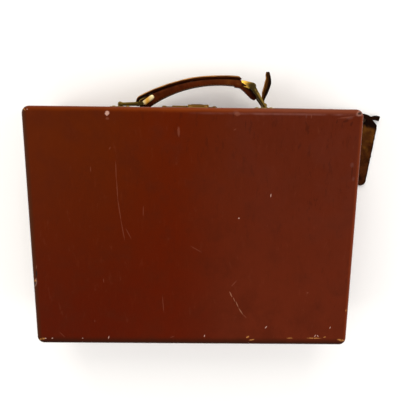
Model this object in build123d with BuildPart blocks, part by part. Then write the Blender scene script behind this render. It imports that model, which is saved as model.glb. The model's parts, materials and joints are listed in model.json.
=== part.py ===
# Leather toiletry case, lying flat with its lid on top and closed.
# Frame: +Z up, origin at the centre of the base's underside. The front, with the handle and
# the lock, faces -Y, and the hinges are at +Y. Lengths are in millimetres.
import math
import os

from build123d import *

# Overall sizes
case_length = 380.0
case_depth = 285.0
base_height = 70.0
lid_height = 29.7
seam_gap = 0.3
corner_radius = 8.5
lid_edge_radius = 4.0
base_edge_radius = 1.2
least_radius = 0.6

# Thicknesses of the walls, from the outside in
leather = 1.5
lid_wood = 4.5
lining = 0.8
lip_clearance = 0.4
lip_thickness = 2.2
lip_height = 5.0
bottom_board = 4.5
lining_below_lip_top = 1.0

# Hinges at the back
hinge_spacing = 220.0
hinge_length = 44.0
hinge_knuckles = 5
hinge_barrel_radius = 2.1
hinge_pin_radius = 1.1
hinge_wall_gap = 0.3
leaf_thickness = 1.0
leaf_depth = 5.7
knuckle_gap = 0.12
running_clearance = 0.05
seat_clearance = 0.1
screw_radius = 1.1
screw_length = 8.0
screw_head_radius = 2.0
screw_head_height = 0.6
screw_spacing = 26.0
pin_head_radius = 1.7
pin_head_length = 0.6

# Slotted lid stays, one at each side
stay_floor_clearance = 3.0
stay_rise = 9.0
stay_open_angle = 100.0
stay_thickness = 1.2
stay_width = 7.0
stay_end_land = 2.5
stay_wall_gap = 0.6
stay_stud_radius = 1.5
stay_collar_radius = 2.8
stay_head_radius = 3.0
stay_head_height = 1.0
stay_head_gap = 0.1
stay_running_gap = 0.1
stay_slot_start = 14.0

# Leather loops inside, for bottles and brushes
loop_leather = 1.5
base_loop_count = 4
base_loop_pitch = 64.0
base_loop_width = 40.0
base_loop_bulge = 18.0
base_loop_band = 20.0
base_loop_bottom = 32.0
lid_loop_count = 5
lid_loop_pitch = 44.0
lid_loop_width = 22.0
lid_loop_bulge = 10.0
lid_loop_band = 16.0
lid_loop_front = 70.0
loop_foot = 10.0
loop_rivet_radius = 1.0
loop_rivet_head = 2.6
loop_rivet_head_height = 0.9

# Handle, its two links and their plates
handle_height = 34.0
anchor_left = 91.5
anchor_reach = 4.2
link_length = 27.5
link_opening = 20.0
link_wire = 1.35
link_corner = 2.4
link_left_angle = 4.0
handle_span = 137.0
anchor_slack = 41.0
handle_width = 15.0
handle_arch = 20.1
handle_thickness = 12.0
handle_edge = 3.2
handle_corner = 3.5
handle_strip = 4.0
handle_core_thickness = 3.0
handle_core_width = 8.0
eye_width = 11.0
eye_wall = 2.9
right_eye_bore = 3.1
right_eye_wall = 1.5
right_eye_neck = 12.0
pivot_clearance = 0.1
plate_thickness = 1.2
plate_length = 24.0
plate_height = 20.0
plate_corner = 3.0
ear_radius = 2.75
ear_length = 9.0
right_ear_length = 2.4
right_ear_gap = 9.4
plate_rivet_offset = 8.6
rivet_radius = 1.2
rivet_head_radius = 2.2
rivet_head_height = 0.9
tab_width = 9.0
tab_thickness = 3.4

# Lock on the front of the base
lock_centre = 5.5
lock_length = 65.0
lock_below_rim = 2.0
lock_height = 22.0
lock_thickness = 1.2
lock_corner = 4.0
lock_case_length = 52.0
lock_case_height = 17.5
lock_case_depth = 5.0
lock_case_wall = 0.8
lock_rivet_inset = 3.0
lock_rivet_rise = 7.0
bolt_travel = 6.0
bolt_thickness = 1.7
bolt_clearance = 0.4
button_left = 7.8
button_length = 17.9
button_height = 9.0
button_proud = 1.1
button_gap = 0.1
button_edge = 0.6
shank_length = 4.0
shank_height = 4.0

# Hasp on the lid
hasp_centre = -5.25
hasp_width = 23.5
hasp_tongue_drop = 21.0
hasp_thickness = 1.2
hasp_gap = 0.3
hasp_axis_rise = 3.0
hasp_barrel_radius = 1.7
hasp_pin_radius = 0.8
hasp_wall_gap = 0.2
hasp_plate_thickness = 1.0
hasp_plate_rise = 2.2
hasp_plate_height = 14.8
hasp_side_knuckle = 5.8
hasp_rivet_head = 1.9
boss_width = 21.5
boss_height = 16.0
boss_top_width = 12.5
boss_top_height = 10.0
boss_top_shift = 2.1
boss_proud = 4.3
staple_thickness = 2.5
staple_height = 9.0
staple_reach = 5.3
staple_bar = 1.9
notch_clearance = 1.0

# Luggage label and its strap
label_width = 39.0
label_length = 82.0
label_shoulder = 13.8
label_top_width = 12.0
label_corner = 8.0
label_tilt = 7.1
label_stand_off = 31.85
label_shoulder_y = 17.1
label_back = 1.6
label_card = 0.4
label_front = 1.6
strap_thickness = 1.4
strap_width = 7.5
strap_eye_clearance = 0.2
strap_eye_wall = 1.15
strap_wall_gap = 0.5
strap_slack = 0.4
strap_end_length = 39.0
strap_end_width = 8.5
strap_end_thickness = 1.8
strap_end_lean = 5.4
strap_tip_stand_off = 56.5
label_rivet_radius = 1.2

# Sizes worked out from the ones above
half_length = case_length / 2
half_depth = case_depth / 2
case_height = base_height + seam_gap + lid_height
front = -half_depth
back = half_depth
lid_wall = leather + lid_wood + lining
lip_offset = lid_wall + lip_clearance
base_wall = lip_offset + lip_thickness + lining
base_floor = leather + bottom_board
lip_top = base_height + lip_height
lid_bottom = base_height + seam_gap
lid_ceiling = case_height - leather - lid_wood - lining
lock_bottom = base_height - lock_below_rim - lock_height
hasp_tongue_bottom = base_height - hasp_tongue_drop
hasp_axis_height = base_height + hasp_axis_rise
hasp_plate_bottom = hasp_axis_height + hasp_plate_rise
anchor_right = anchor_left - handle_span - anchor_slack

os.makedirs("parts", exist_ok=True)


def case_outline(inset):
    """The case's rounded outline, seen from above, inset from the outer face."""
    radius = max(corner_radius - inset, least_radius)
    RectangleRounded(case_length - 2 * inset, case_depth - 2 * inset, radius)


def save(builder, name):
    """Label a finished piece and write it as its own STEP file."""
    builder.part.label = name
    export_step(builder.part, f"parts/{name}.step")


def upright(x, y, z):
    """A plane that faces up, at a point."""
    return Plane(origin=(x, y, z), x_dir=(1, 0, 0), z_dir=(0, 0, 1))


def facing_front(x, y, z):
    """A plane whose normal points out of the front wall, with its own Y up."""
    return Plane(origin=(x, y, z), x_dir=(1, 0, 0), z_dir=(0, -1, 0))


def facing_side(x, y, z):
    """A plane whose normal is +X, with its own X along +Y and its own Y up."""
    return Plane(origin=(x, y, z), x_dir=(0, 1, 0), z_dir=(1, 0, 0))


# Places of the fittings that cut into the walls
hinge_axis_y = back + hinge_barrel_radius + hinge_wall_gap
hinge_axis_z = base_height + seam_gap / 2
hinge_centres = [-hinge_spacing / 2, hinge_spacing / 2]
screw_y = back - leather - lid_wood / 2
lock_middle = lock_bottom + lock_height / 2
case_middle = lock_bottom + lock_height / 2 + 0.75
notch_width = staple_thickness + 2 * notch_clearance
staple_middle = lock_middle + 2.5
notch_bottom = staple_middle - staple_height / 2 - notch_clearance - 0.5
notch_depth = staple_reach - hasp_gap - lock_thickness + 0.7
stay_pivot_z = hinge_axis_z + stay_rise
stay_slide_z = hinge_axis_z - stay_rise
stay_slot_land = stay_stud_radius + stay_running_gap + stay_end_land
stay_room = stay_pivot_z - base_floor - lining - stay_floor_clearance
stay_half_open = math.radians(stay_open_angle / 2)
stay_half_travel = (stay_room - stay_slot_land) / 2 - stay_rise * math.cos(stay_half_open)
stay_reach = stay_half_travel / math.sin(stay_half_open)
stay_slide_y = hinge_axis_y - stay_reach
stay_outer = half_length - base_wall - stay_wall_gap
anchor_y = front - anchor_reach


def hinge_pockets(floor_z, direction):
    """Shallow pockets in a rim for the hinge leaves, and the screw holes below them."""
    for centre in hinge_centres:
        with BuildSketch(upright(centre, back - leaf_depth / 2 + 1, floor_z)) as pocket:
            Rectangle(hinge_length + 2 * seat_clearance, leaf_depth + 2 + 2 * seat_clearance)
        extrude(pocket.sketch, amount=leaf_thickness * direction, mode=Mode.SUBTRACT)
        with BuildSketch(upright(centre, screw_y, floor_z)) as holes:
            with GridLocations(screw_spacing, 0, 2, 1):
                Circle(screw_radius + running_clearance)
        extrude(holes.sketch, amount=(screw_length + 1) * direction, mode=Mode.SUBTRACT)


def round_holes(points, radius, plane, depth):
    """Round holes cut along a plane's own normal, at points on that plane."""
    with BuildSketch(plane) as holes:
        with Locations(*points):
            Circle(radius)
    extrude(holes.sketch, amount=depth, mode=Mode.SUBTRACT)


# Rivet points on the front wall, as X and height, seen from the front
plate_rivets = [
    (anchor + side * plate_rivet_offset, handle_height)
    for anchor in (anchor_left, anchor_right)
    for side in (-1, 1)
]
lock_rivets = [
    (lock_centre + side * (lock_length / 2 - lock_rivet_inset), lock_middle + rise * lock_rivet_rise)
    for side in (-1, 1)
    for rise in (-1, 1)
]
hasp_rivets = [
    (hasp_centre + side * (hasp_width / 2 - 3.2), hasp_plate_bottom + rise * hasp_plate_height)
    for side in (-1, 1)
    for rise in (0.28, 0.76)
]


def front_wall_cuts(wall_depth):
    """The lock's mortise, the staple's notch and the rivet holes in the front of the base."""
    with BuildSketch(facing_front(lock_centre, front, case_middle)) as mortise:
        Rectangle(lock_case_length, lock_case_height)
    extrude(mortise.sketch, amount=-lock_case_depth, mode=Mode.SUBTRACT)
    with BuildSketch(facing_front(hasp_centre, front, notch_bottom)) as notch:
        Rectangle(notch_width, base_height - notch_bottom + 1, align=(Align.CENTER, Align.MIN))
    extrude(notch.sketch, amount=-notch_depth, mode=Mode.SUBTRACT)
    round_holes(plate_rivets + lock_rivets, rivet_radius, facing_front(0, front, 0), -wall_depth)


# Wooden wall of the base
with BuildPart() as base_frame:
    with BuildSketch(Plane.XY.offset(base_floor)):
        case_outline(leather)
        with Locations((0, 0)):
            RectangleRounded(
                case_length - 2 * lip_offset,
                case_depth - 2 * lip_offset,
                max(corner_radius - lip_offset, least_radius),
                mode=Mode.SUBTRACT,
            )
    extrude(amount=base_height - leather - base_floor)
    hinge_pockets(base_height, -1)
    front_wall_cuts(lip_offset)
save(base_frame, "base_frame")

# Bottom board, under the wall
with BuildPart() as base_board:
    with BuildSketch(Plane.XY.offset(leather)):
        case_outline(leather)
    extrude(amount=bottom_board)
save(base_board, "base_board")

# Leather panel under the case
with BuildPart() as base_bottom_leather:
    with BuildSketch(Plane.XY):
        case_outline(0)
    extrude(amount=leather)
    fillet(base_bottom_leather.faces().sort_by(Axis.Z)[0].edges(), base_edge_radius)
save(base_bottom_leather, "base_bottom_leather")

# Leather band round the base, turned over the rim as far as the lip
with BuildPart() as base_wall_leather:
    with BuildSketch(Plane.XY.offset(leather)):
        case_outline(0)
    extrude(amount=base_height - leather)
    with BuildSketch(Plane.XY.offset(leather)):
        case_outline(leather)
    extrude(amount=base_height - 2 * leather, mode=Mode.SUBTRACT)
    with BuildSketch(Plane.XY.offset(leather)):
        case_outline(lip_offset)
    extrude(amount=base_height, mode=Mode.SUBTRACT)
    hinge_pockets(base_height, -1)
    front_wall_cuts(lip_offset)
save(base_wall_leather, "base_wall_leather")

# Thin inner board that stands proud of the rim as a lip
lip_inset = lip_offset + lip_thickness
base_loop_centres = [
    (i - (base_loop_count - 1) / 2) * base_loop_pitch for i in range(base_loop_count)
]
base_rivet_z = base_loop_bottom + base_loop_band / 2
base_rivet_offset = base_loop_width / 2 + loop_foot / 2
base_rivet_points = [
    (centre + side * base_rivet_offset, base_rivet_z)
    for centre in base_loop_centres
    for side in (-1, 1)
]
lip_back = back - lip_offset
with BuildPart() as base_lip:
    with BuildSketch(Plane.XY.offset(base_floor)):
        case_outline(lip_offset)
        RectangleRounded(
            case_length - 2 * lip_inset, case_depth - 2 * lip_inset, least_radius, mode=Mode.SUBTRACT
        )
    extrude(amount=lip_top - base_floor)
    chamfer(base_lip.edges().group_by(Axis.Z)[-1], 0.5)
    round_holes(base_rivet_points, loop_rivet_radius, facing_front(0, lip_back, 0), lip_thickness)
    for side in (-1, 1):
        stud_plane = facing_side(side * half_length, 0, 0)
        round_holes([(stay_slide_y, stay_slide_z)], stay_stud_radius, stud_plane, -side * base_wall)
save(base_lip, "base_lip")

# Cloth lining of the base
lining_top = lip_top - lining_below_lip_top
with BuildPart() as base_lining:
    with BuildSketch(Plane.XY.offset(base_floor)):
        case_outline(lip_inset)
    extrude(amount=lining_top - base_floor)
    with BuildSketch(Plane.XY.offset(base_floor + lining)):
        case_outline(base_wall)
    extrude(amount=lining_top, mode=Mode.SUBTRACT)
    round_holes(
        base_rivet_points, loop_rivet_radius, facing_front(0, back - lip_inset + 1, 0), lining + 2
    )
    for side in (-1, 1):
        stud_plane = facing_side(side * half_length, 0, 0)
        round_holes([(stay_slide_y, stay_slide_z)], stay_stud_radius, stud_plane, -side * (base_wall + 1))
save(base_lining, "base_lining")


def loop_profile(count, pitch, width, bulge):
    """A band with round loops, on a wall at local y = 0, bulging towards -y."""
    outer = (width * width / 4 + bulge * bulge) / (2 * bulge)
    band = (count - 1) * pitch + width + 2 * loop_foot
    centres = [((i - (count - 1) / 2) * pitch, outer - bulge) for i in range(count)]
    with Locations((0, -loop_leather / 2)):
        Rectangle(band, loop_leather)
    with Locations(*centres):
        Circle(outer)
    with Locations(*centres):
        Circle(outer - loop_leather, mode=Mode.SUBTRACT)
    with Locations((0, outer * 2)):
        Rectangle(band * 2, outer * 4, mode=Mode.SUBTRACT)


# Leather loops along the back of the base, each a strip with a foot at both ends
loop_wall = back - base_wall
for number, centre in enumerate(base_loop_centres, 1):
    with BuildPart() as base_loop:
        with BuildSketch(upright(centre, loop_wall, base_loop_bottom)):
            loop_profile(1, base_loop_pitch, base_loop_width, base_loop_bulge)
        extrude(amount=base_loop_band)
        round_holes(
            base_rivet_points, loop_rivet_radius, facing_front(0, loop_wall, 0), loop_leather * 2
        )
    save(base_loop, f"base_loop_{number}")


def rivet(plane, shank_radius, shank_length, head_radius, head_height):
    """A domed rivet whose head stands on the plane and whose shank goes down into it."""
    with BuildSketch(plane) as shank:
        Circle(shank_radius)
    extrude(shank.sketch, amount=-shank_length)
    with BuildSketch(plane) as head:
        Circle(head_radius)
    with BuildSketch(plane.offset(head_height)) as crown:
        Circle(head_radius - head_height * 0.8)
    extrude(head.sketch, amount=head_height * 0.3)
    with BuildSketch(plane.offset(head_height * 0.3)) as shoulder:
        Circle(head_radius)
    loft([shoulder.sketch.face(), crown.sketch.face()])


# Brass rivets that hold the base loops
with BuildPart() as base_loop_rivets:
    for x, z in base_rivet_points:
        rivet(
            facing_front(x, loop_wall - loop_leather, z),
            loop_rivet_radius,
            loop_leather + lining + lip_thickness,
            loop_rivet_head,
            loop_rivet_head_height,
        )
save(base_loop_rivets, "base_loop_rivets")

# Rivets of the band of loops under the lid: one between each two loops and one at each end
lid_rivet_y = lid_loop_front + lid_loop_band / 2
lid_rivet_x = [(i - lid_loop_count / 2) * lid_loop_pitch for i in range(lid_loop_count + 1)]
lid_rivet_points = [(x, lid_rivet_y) for x in lid_rivet_x]

# Wooden wall of the lid
with BuildPart() as lid_frame:
    with BuildSketch(Plane.XY.offset(lid_bottom + leather)):
        case_outline(leather)
        RectangleRounded(
            case_length - 2 * (leather + lid_wood),
            case_depth - 2 * (leather + lid_wood),
            max(corner_radius - leather - lid_wood, least_radius),
            mode=Mode.SUBTRACT,
        )
    extrude(amount=lid_height - 2 * leather - lid_wood)
    hinge_pockets(lid_bottom, 1)
    round_holes(hasp_rivets, loop_rivet_radius, facing_front(0, front, 0), -lid_wall)
    for side in (-1, 1):
        stud_plane = facing_side(side * (half_length - leather), 0, 0)
        round_holes([(stay_slide_y, stay_pivot_z)], stay_stud_radius, stud_plane, -side * lid_wall)
save(lid_frame, "lid_frame")

# Top board of the lid, with the rounded edge that the leather follows
with BuildPart() as lid_board:
    with BuildSketch(Plane.XY.offset(case_height - leather - lid_wood)):
        case_outline(leather)
    extrude(amount=lid_wood)
    fillet(lid_board.faces().sort_by(Axis.Z)[-1].edges(), lid_edge_radius - leather)
    with BuildSketch(Plane.XY.offset(case_height - leather - lid_wood)):
        with Locations(*lid_rivet_points):
            Circle(loop_rivet_radius)
    extrude(amount=lid_wood - 1, mode=Mode.SUBTRACT)
save(lid_board, "lid_board")

# Leather of the lid: one piece over the top and the sides, turned over the rim
with BuildPart() as lid_leather:
    with BuildSketch(Plane.XY.offset(lid_bottom)):
        case_outline(0)
    extrude(amount=lid_height)
    fillet(lid_leather.faces().sort_by(Axis.Z)[-1].edges(), lid_edge_radius)
    with BuildPart(mode=Mode.PRIVATE) as lid_hollow:
        with BuildSketch(Plane.XY.offset(lid_bottom + leather)):
            case_outline(leather)
        extrude(amount=lid_height - 2 * leather)
        fillet(lid_hollow.faces().sort_by(Axis.Z)[-1].edges(), lid_edge_radius - leather)
    add(lid_hollow.part, mode=Mode.SUBTRACT)
    with BuildSketch(Plane.XY.offset(lid_bottom)):
        case_outline(leather + lid_wood)
    extrude(amount=leather, mode=Mode.SUBTRACT)
    hinge_pockets(lid_bottom, 1)
    round_holes(hasp_rivets, loop_rivet_radius, facing_front(0, front, 0), -lid_wall)
save(lid_leather, "lid_leather")

# Cloth lining of the lid
with BuildPart() as lid_lining:
    with BuildSketch(Plane.XY.offset(lid_bottom + 0.5)):
        case_outline(leather + lid_wood)
    extrude(amount=lid_ceiling + lining - lid_bottom - 0.5)
    with BuildSketch(Plane.XY.offset(lid_bottom)):
        case_outline(lid_wall)
    extrude(amount=lid_ceiling - lid_bottom, mode=Mode.SUBTRACT)
    with BuildSketch(Plane.XY.offset(lid_ceiling - 1)):
        with Locations(*lid_rivet_points):
            Circle(loop_rivet_radius)
    extrude(amount=lining + 2, mode=Mode.SUBTRACT)
    for side in (-1, 1):
        stud_plane = facing_side(side * half_length, 0, 0)
        round_holes([(stay_slide_y, stay_pivot_z)], stay_stud_radius, stud_plane, -side * (lid_wall + 1))
save(lid_lining, "lid_lining")

# Leather loops under the lid
with BuildPart() as lid_loops:
    with BuildSketch(facing_front(0, lid_loop_front + lid_loop_band, lid_ceiling)):
        loop_profile(lid_loop_count, lid_loop_pitch, lid_loop_width, lid_loop_bulge)
    extrude(amount=lid_loop_band)
    with BuildSketch(Plane.XY.offset(lid_ceiling - loop_leather)):
        with Locations(*lid_rivet_points):
            Circle(loop_rivet_radius)
    extrude(amount=loop_leather, mode=Mode.SUBTRACT)
save(lid_loops, "lid_loops")

with BuildPart() as lid_loop_rivets:
    for x, y in lid_rivet_points:
        rivet(
            Plane(origin=(x, y, lid_ceiling - loop_leather), x_dir=(1, 0, 0), z_dir=(0, 0, -1)),
            loop_rivet_radius,
            loop_leather + lining + lid_wood - 1,
            loop_rivet_head,
            loop_rivet_head_height,
        )
save(lid_loop_rivets, "lid_loop_rivets")


# Hinges: each has a leaf in the base's rim, a leaf in the lid's rim and a pin
knuckle_pitch = hinge_length / hinge_knuckles


def hinge_leaf(centre, rim_z, direction, own):
    """One hinge leaf, with the knuckles whose numbers are in own."""
    leaf_edge = back - hinge_wall_gap + 0.1
    with BuildPart() as leaf:
        with BuildSketch(upright(centre, back - leaf_depth, rim_z)):
            Rectangle(hinge_length, leaf_edge - back + leaf_depth, align=(Align.CENTER, Align.MIN))
        extrude(amount=leaf_thickness * direction)
        for number in own:
            start = centre - hinge_length / 2 + number * knuckle_pitch + knuckle_gap / 2
            width = knuckle_pitch - knuckle_gap
            with BuildSketch(upright(start + width / 2, back - 1, rim_z)):
                Rectangle(width, hinge_axis_y - back + 1, align=(Align.CENTER, Align.MIN))
            extrude(amount=leaf_thickness * direction)
            with BuildSketch(facing_side(start, hinge_axis_y, hinge_axis_z)):
                Circle(hinge_barrel_radius)
            extrude(amount=width)
        with BuildSketch(facing_side(centre - hinge_length, hinge_axis_y, hinge_axis_z)):
            Circle(hinge_pin_radius + running_clearance)
        extrude(amount=2 * hinge_length, mode=Mode.SUBTRACT)
        with BuildSketch(upright(centre, screw_y, rim_z)):
            with GridLocations(screw_spacing, 0, 2, 1):
                Circle(screw_radius + running_clearance)
        extrude(amount=leaf_thickness * direction, mode=Mode.SUBTRACT)
        with BuildSketch(upright(centre, screw_y, rim_z)):
            with GridLocations(screw_spacing, 0, 2, 1):
                Circle(screw_head_radius + running_clearance)
        extrude(amount=screw_head_height * direction, mode=Mode.SUBTRACT)
    return leaf


def hinge_screws(rim_z, direction):
    """Screws of one row of leaves, with their flat heads level with the leaf."""
    with BuildPart() as screws:
        for centre in hinge_centres:
            for side in (-1, 1):
                place = upright(centre + side * screw_spacing / 2, screw_y, rim_z)
                with BuildSketch(place):
                    Circle(screw_head_radius)
                extrude(amount=screw_head_height * direction)
                with BuildSketch(place):
                    Circle(screw_radius)
                extrude(amount=screw_length * direction)
    return screws


hinge_sides = [("right", hinge_centres[0]), ("left", hinge_centres[1])]
for side_name, centre in hinge_sides:
    base_leaf = hinge_leaf(centre, base_height, -1, range(0, hinge_knuckles, 2))
    lid_leaf = hinge_leaf(centre, lid_bottom, 1, range(1, hinge_knuckles, 2))
    save(base_leaf, f"hinge_base_leaf_{side_name}")
    save(lid_leaf, f"hinge_lid_leaf_{side_name}")
    with BuildPart() as hinge_pin:
        with BuildSketch(facing_side(centre - hinge_length / 2, hinge_axis_y, hinge_axis_z)):
            Circle(hinge_pin_radius)
        extrude(amount=hinge_length)
        for end, way in ((centre - hinge_length / 2, -1), (centre + hinge_length / 2, 1)):
            with BuildSketch(facing_side(end, hinge_axis_y, hinge_axis_z)):
                Circle(pin_head_radius)
            extrude(amount=pin_head_length * way)
    save(hinge_pin, f"hinge_pin_{side_name}")
save(hinge_screws(base_height, -1), "hinge_base_screws")
save(hinge_screws(lid_bottom, 1), "hinge_lid_screws")


# Slotted stays: a stud on the lid is the arm's pivot, and a stud on the base runs in its slot
arm_end = stay_room
slot_end = arm_end - stay_end_land
print(f"stay pivots at y {stay_slide_y:.4f} z {stay_pivot_z:.4f}")
for side_name, side in (("right", -1), ("left", 1)):
    arm_face = side * stay_outer
    with BuildPart() as stay_arm:
        with BuildSketch(facing_side(arm_face, stay_slide_y, stay_pivot_z)):
            with Locations((0, -(arm_end - stay_width / 2) / 2)):
                RectangleRounded(stay_width, arm_end + stay_width / 2, stay_width / 2 - 0.01)
            Circle(stay_stud_radius + running_clearance, mode=Mode.SUBTRACT)
            with Locations((0, -(stay_slot_start + slot_end) / 2)):
                RectangleRounded(
                    2 * (stay_stud_radius + stay_running_gap),
                    slot_end - stay_slot_start,
                    stay_stud_radius + stay_running_gap - 0.01,
                    mode=Mode.SUBTRACT,
                )
        extrude(amount=-side * stay_thickness)
    save(stay_arm, f"stay_arm_{side_name}")
    for stud_name, height, wall in (("lid", stay_pivot_z, lid_wall), ("base", stay_slide_z, base_wall)):
        root = leather if stud_name == "lid" else lip_offset
        length = half_length - stay_outer + stay_thickness + stay_head_gap
        with BuildPart() as stay_stud:
            with BuildSketch(facing_side(side * (half_length - root), stay_slide_y, height)):
                Circle(stay_stud_radius)
            extrude(amount=-side * (length - root))
            with BuildSketch(facing_side(side * (half_length - length), stay_slide_y, height)):
                Circle(stay_head_radius)
            extrude(amount=-side * stay_head_height)
            with BuildSketch(facing_side(side * (half_length - wall), stay_slide_y, height)):
                Circle(stay_collar_radius)
            extrude(amount=-side * (half_length - wall - stay_outer - stay_head_gap))
        save(stay_stud, f"stay_{stud_name}_stud_{side_name}")

# Handle: places of its four pivots, in the plane that it lies in
left_angle = math.radians(link_left_angle)
left_pivot = (
    anchor_left - link_length * math.cos(left_angle),
    anchor_y - link_length * math.sin(left_angle),
)
reach = math.dist(left_pivot, (anchor_right, anchor_y))
slope = math.atan2(anchor_y - left_pivot[1], left_pivot[0] - anchor_right)
right_angle = slope + math.acos(
    (reach**2 + link_length**2 - handle_span**2) / (2 * reach * link_length)
)
right_pivot = (
    anchor_right + link_length * math.cos(right_angle),
    anchor_y - link_length * math.sin(right_angle),
)
handle_plane = Plane(
    origin=(left_pivot[0], left_pivot[1], handle_height),
    x_dir=(right_pivot[0] - left_pivot[0], right_pivot[1] - left_pivot[1], 0),
    z_dir=(0, 0, 1),
)
print(f"left pivot {left_pivot[0]:.4f} {left_pivot[1]:.4f}")
print(f"right pivot {right_pivot[0]:.4f} {right_pivot[1]:.4f}")
print(f"right link at {math.degrees(right_angle):.2f} degrees")


def handle_link(anchor, pivot):
    """A rectangular wire loop from a plate's ears to the handle's eye."""
    turn = Plane(
        origin=((anchor + pivot[0]) / 2, (anchor_y + pivot[1]) / 2, handle_height),
        x_dir=(pivot[0] - anchor, pivot[1] - anchor_y, 0),
        z_dir=(-(pivot[1] - anchor_y), pivot[0] - anchor, 0),
    )
    with BuildSketch(turn) as loop:
        RectangleRounded(link_length, link_opening, link_corner)
    path = loop.sketch.face().outer_wire()
    with BuildPart() as link:
        with BuildSketch(Plane(origin=path @ 0, z_dir=path % 0)):
            Circle(link_wire)
        sweep(path=path)
    return link


save(handle_link(anchor_left, left_pivot), "handle_link_left")
save(handle_link(anchor_right, right_pivot), "handle_link_right")


def handle_plate(anchor, ears):
    """A riveted plate with ears for the link's inner bar; ears are (height, length) pairs."""
    with BuildPart() as plate:
        with BuildSketch(facing_front(anchor, front, handle_height)):
            RectangleRounded(plate_length, plate_height, plate_corner)
        extrude(amount=plate_thickness)
        for height, length in ears:
            with BuildSketch(upright(anchor, anchor_y, handle_height + height - length / 2)):
                Circle(ear_radius)
                Rectangle(
                    2 * ear_radius, anchor_reach - plate_thickness / 2, align=(Align.CENTER, Align.MIN)
                )
            extrude(amount=length)
            with BuildSketch(upright(anchor, anchor_y, handle_height + height - length / 2)):
                Circle(link_wire + pivot_clearance)
            extrude(amount=length, mode=Mode.SUBTRACT)
        rivet_points = [(-plate_rivet_offset, 0), (plate_rivet_offset, 0)]
        round_holes(rivet_points, rivet_radius, facing_front(anchor, front, handle_height), plate_thickness)
    return plate


right_ear_height = (right_ear_gap + right_ear_length) / 2
save(handle_plate(anchor_left, [(0, ear_length)]), "handle_plate_left")
right_ears = [(side * right_ear_height, right_ear_length) for side in (-1, 1)]
save(handle_plate(anchor_right, right_ears), "handle_plate_right")


def front_rivets(points, thickness, length, radius, head_radius):
    """Rivets through a plate on the front wall."""
    with BuildPart() as rivets:
        for x, z in points:
            rivet(facing_front(x, front - thickness, z), radius, length, head_radius, rivet_head_height)
    return rivets


save(
    front_rivets(
        plate_rivets, plate_thickness, plate_thickness + lip_offset, rivet_radius, rivet_head_radius
    ),
    "handle_plate_rivets",
)

# Outlines of the handle in its own plane: local X runs from the left pivot to the right one
inner_arch = handle_arch - handle_thickness
arch_shift = 5.8
arch_middle = handle_span / 2 - arch_shift
inner_arch_shift = 6.3
right_inset = 10.5
right_slant = 2.9
right_shoulder = 12.6
right_foot = 0.2
grip_right = handle_span - right_inset
left_shoulder_x = -3.2
left_shoulder = 7.4
left_tip_x = -7.0
left_tip = 0.6
left_foot_x = 1.5
left_foot = -5.5
left_heel_x = 12.0
left_heel = -5.0
strip_left_x = -1.0
strip_left = 4.4
strip_right_reach = 2.5
strip_right = 8.0
strip_overlap = 5.0
strip_left_reach = 9.0
eye_neck_rise = 5.6
eye_neck_radius = 3.4
left_neck_x = 9.5
left_neck_rise = 2.4
left_neck_radius = 4.0
core_start = 14.0
core_inset = 19.0
core_end = handle_span - core_inset
core_left_rise = 3.0
core_right_rise = 5.7
core_drop = 1.5


def left_eye_outline():
    """The left eye round the link's outer bar, tapering into the handle."""
    Circle(link_wire + pivot_clearance + eye_wall)
    with Locations((left_neck_x, left_neck_rise)):
        Circle(left_neck_radius)
    make_hull()


def right_eye_outline():
    """The right eye, whose bore is loose round the link's outer bar."""
    with Locations((handle_span, 0)):
        Circle(right_eye_bore + right_eye_wall)
    with Locations((handle_span - right_eye_neck, eye_neck_rise)):
        Circle(eye_neck_radius)
    make_hull()


def grip_outline():
    """The leather handle's outline."""
    with BuildLine() as outline:
        shoulder = (left_shoulder_x, left_shoulder)
        nose = (grip_right, right_shoulder)
        nose_foot = (grip_right - right_slant, right_foot)
        heel = (left_heel_x, left_heel)
        foot = (left_foot_x, left_foot)
        ThreePointArc(shoulder, (arch_middle, handle_arch), nose)
        Line(nose, nose_foot)
        ThreePointArc(nose_foot, (arch_middle + inner_arch_shift, inner_arch), heel)
        Line(heel, foot)
        ThreePointArc(foot, (left_tip_x, left_tip), shoulder)
    make_face(outline.edges())
    fillet(vertices(), handle_corner)


def strip_region():
    """The part of the handle's outline that the upper strip of leather fills."""
    above = handle_arch + handle_strip
    left_end = (strip_left_x, strip_left)
    right_end = (grip_right + strip_right_reach, strip_right)
    with BuildLine() as outline:
        ThreePointArc(left_end, (arch_middle, handle_arch - handle_strip), right_end)
        Polyline(
            right_end,
            (right_end[0] + strip_overlap, above),
            (-strip_left_reach, above),
            left_end,
        )
    make_face(outline.edges())


def core_outline():
    """The stiff strip inside the handle, from eye to eye."""
    half = handle_core_thickness / 2
    middle = ((core_start + core_end) / 2, (handle_arch + inner_arch) / 2 - core_drop)
    with BuildLine() as outline:
        ThreePointArc(
            (core_start, core_left_rise + half),
            (middle[0], middle[1] + half),
            (core_end, core_right_rise + half),
        )
        Line((core_end, core_right_rise + half), (core_end, core_right_rise - half))
        ThreePointArc(
            (core_end, core_right_rise - half),
            (middle[0], middle[1] - half),
            (core_start, core_left_rise - half),
        )
        Line((core_start, core_left_rise - half), (core_start, core_left_rise + half))
    make_face(outline.edges())


# Brass eyes at the handle's ends
with BuildPart() as handle_eye_left:
    with BuildSketch(handle_plane):
        left_eye_outline()
        Circle(link_wire + pivot_clearance, mode=Mode.SUBTRACT)
    extrude(amount=eye_width / 2, both=True)
save(handle_eye_left, "handle_eye_left")

with BuildPart() as handle_eye_right:
    with BuildSketch(handle_plane):
        right_eye_outline()
        with Locations((handle_span, 0)):
            Circle(right_eye_bore, mode=Mode.SUBTRACT)
    extrude(amount=eye_width / 2, both=True)
save(handle_eye_right, "handle_eye_right")

with BuildPart() as handle_core:
    with BuildSketch(handle_plane):
        core_outline()
    extrude(amount=handle_core_width / 2, both=True)
save(handle_core, "handle_core")

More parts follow.
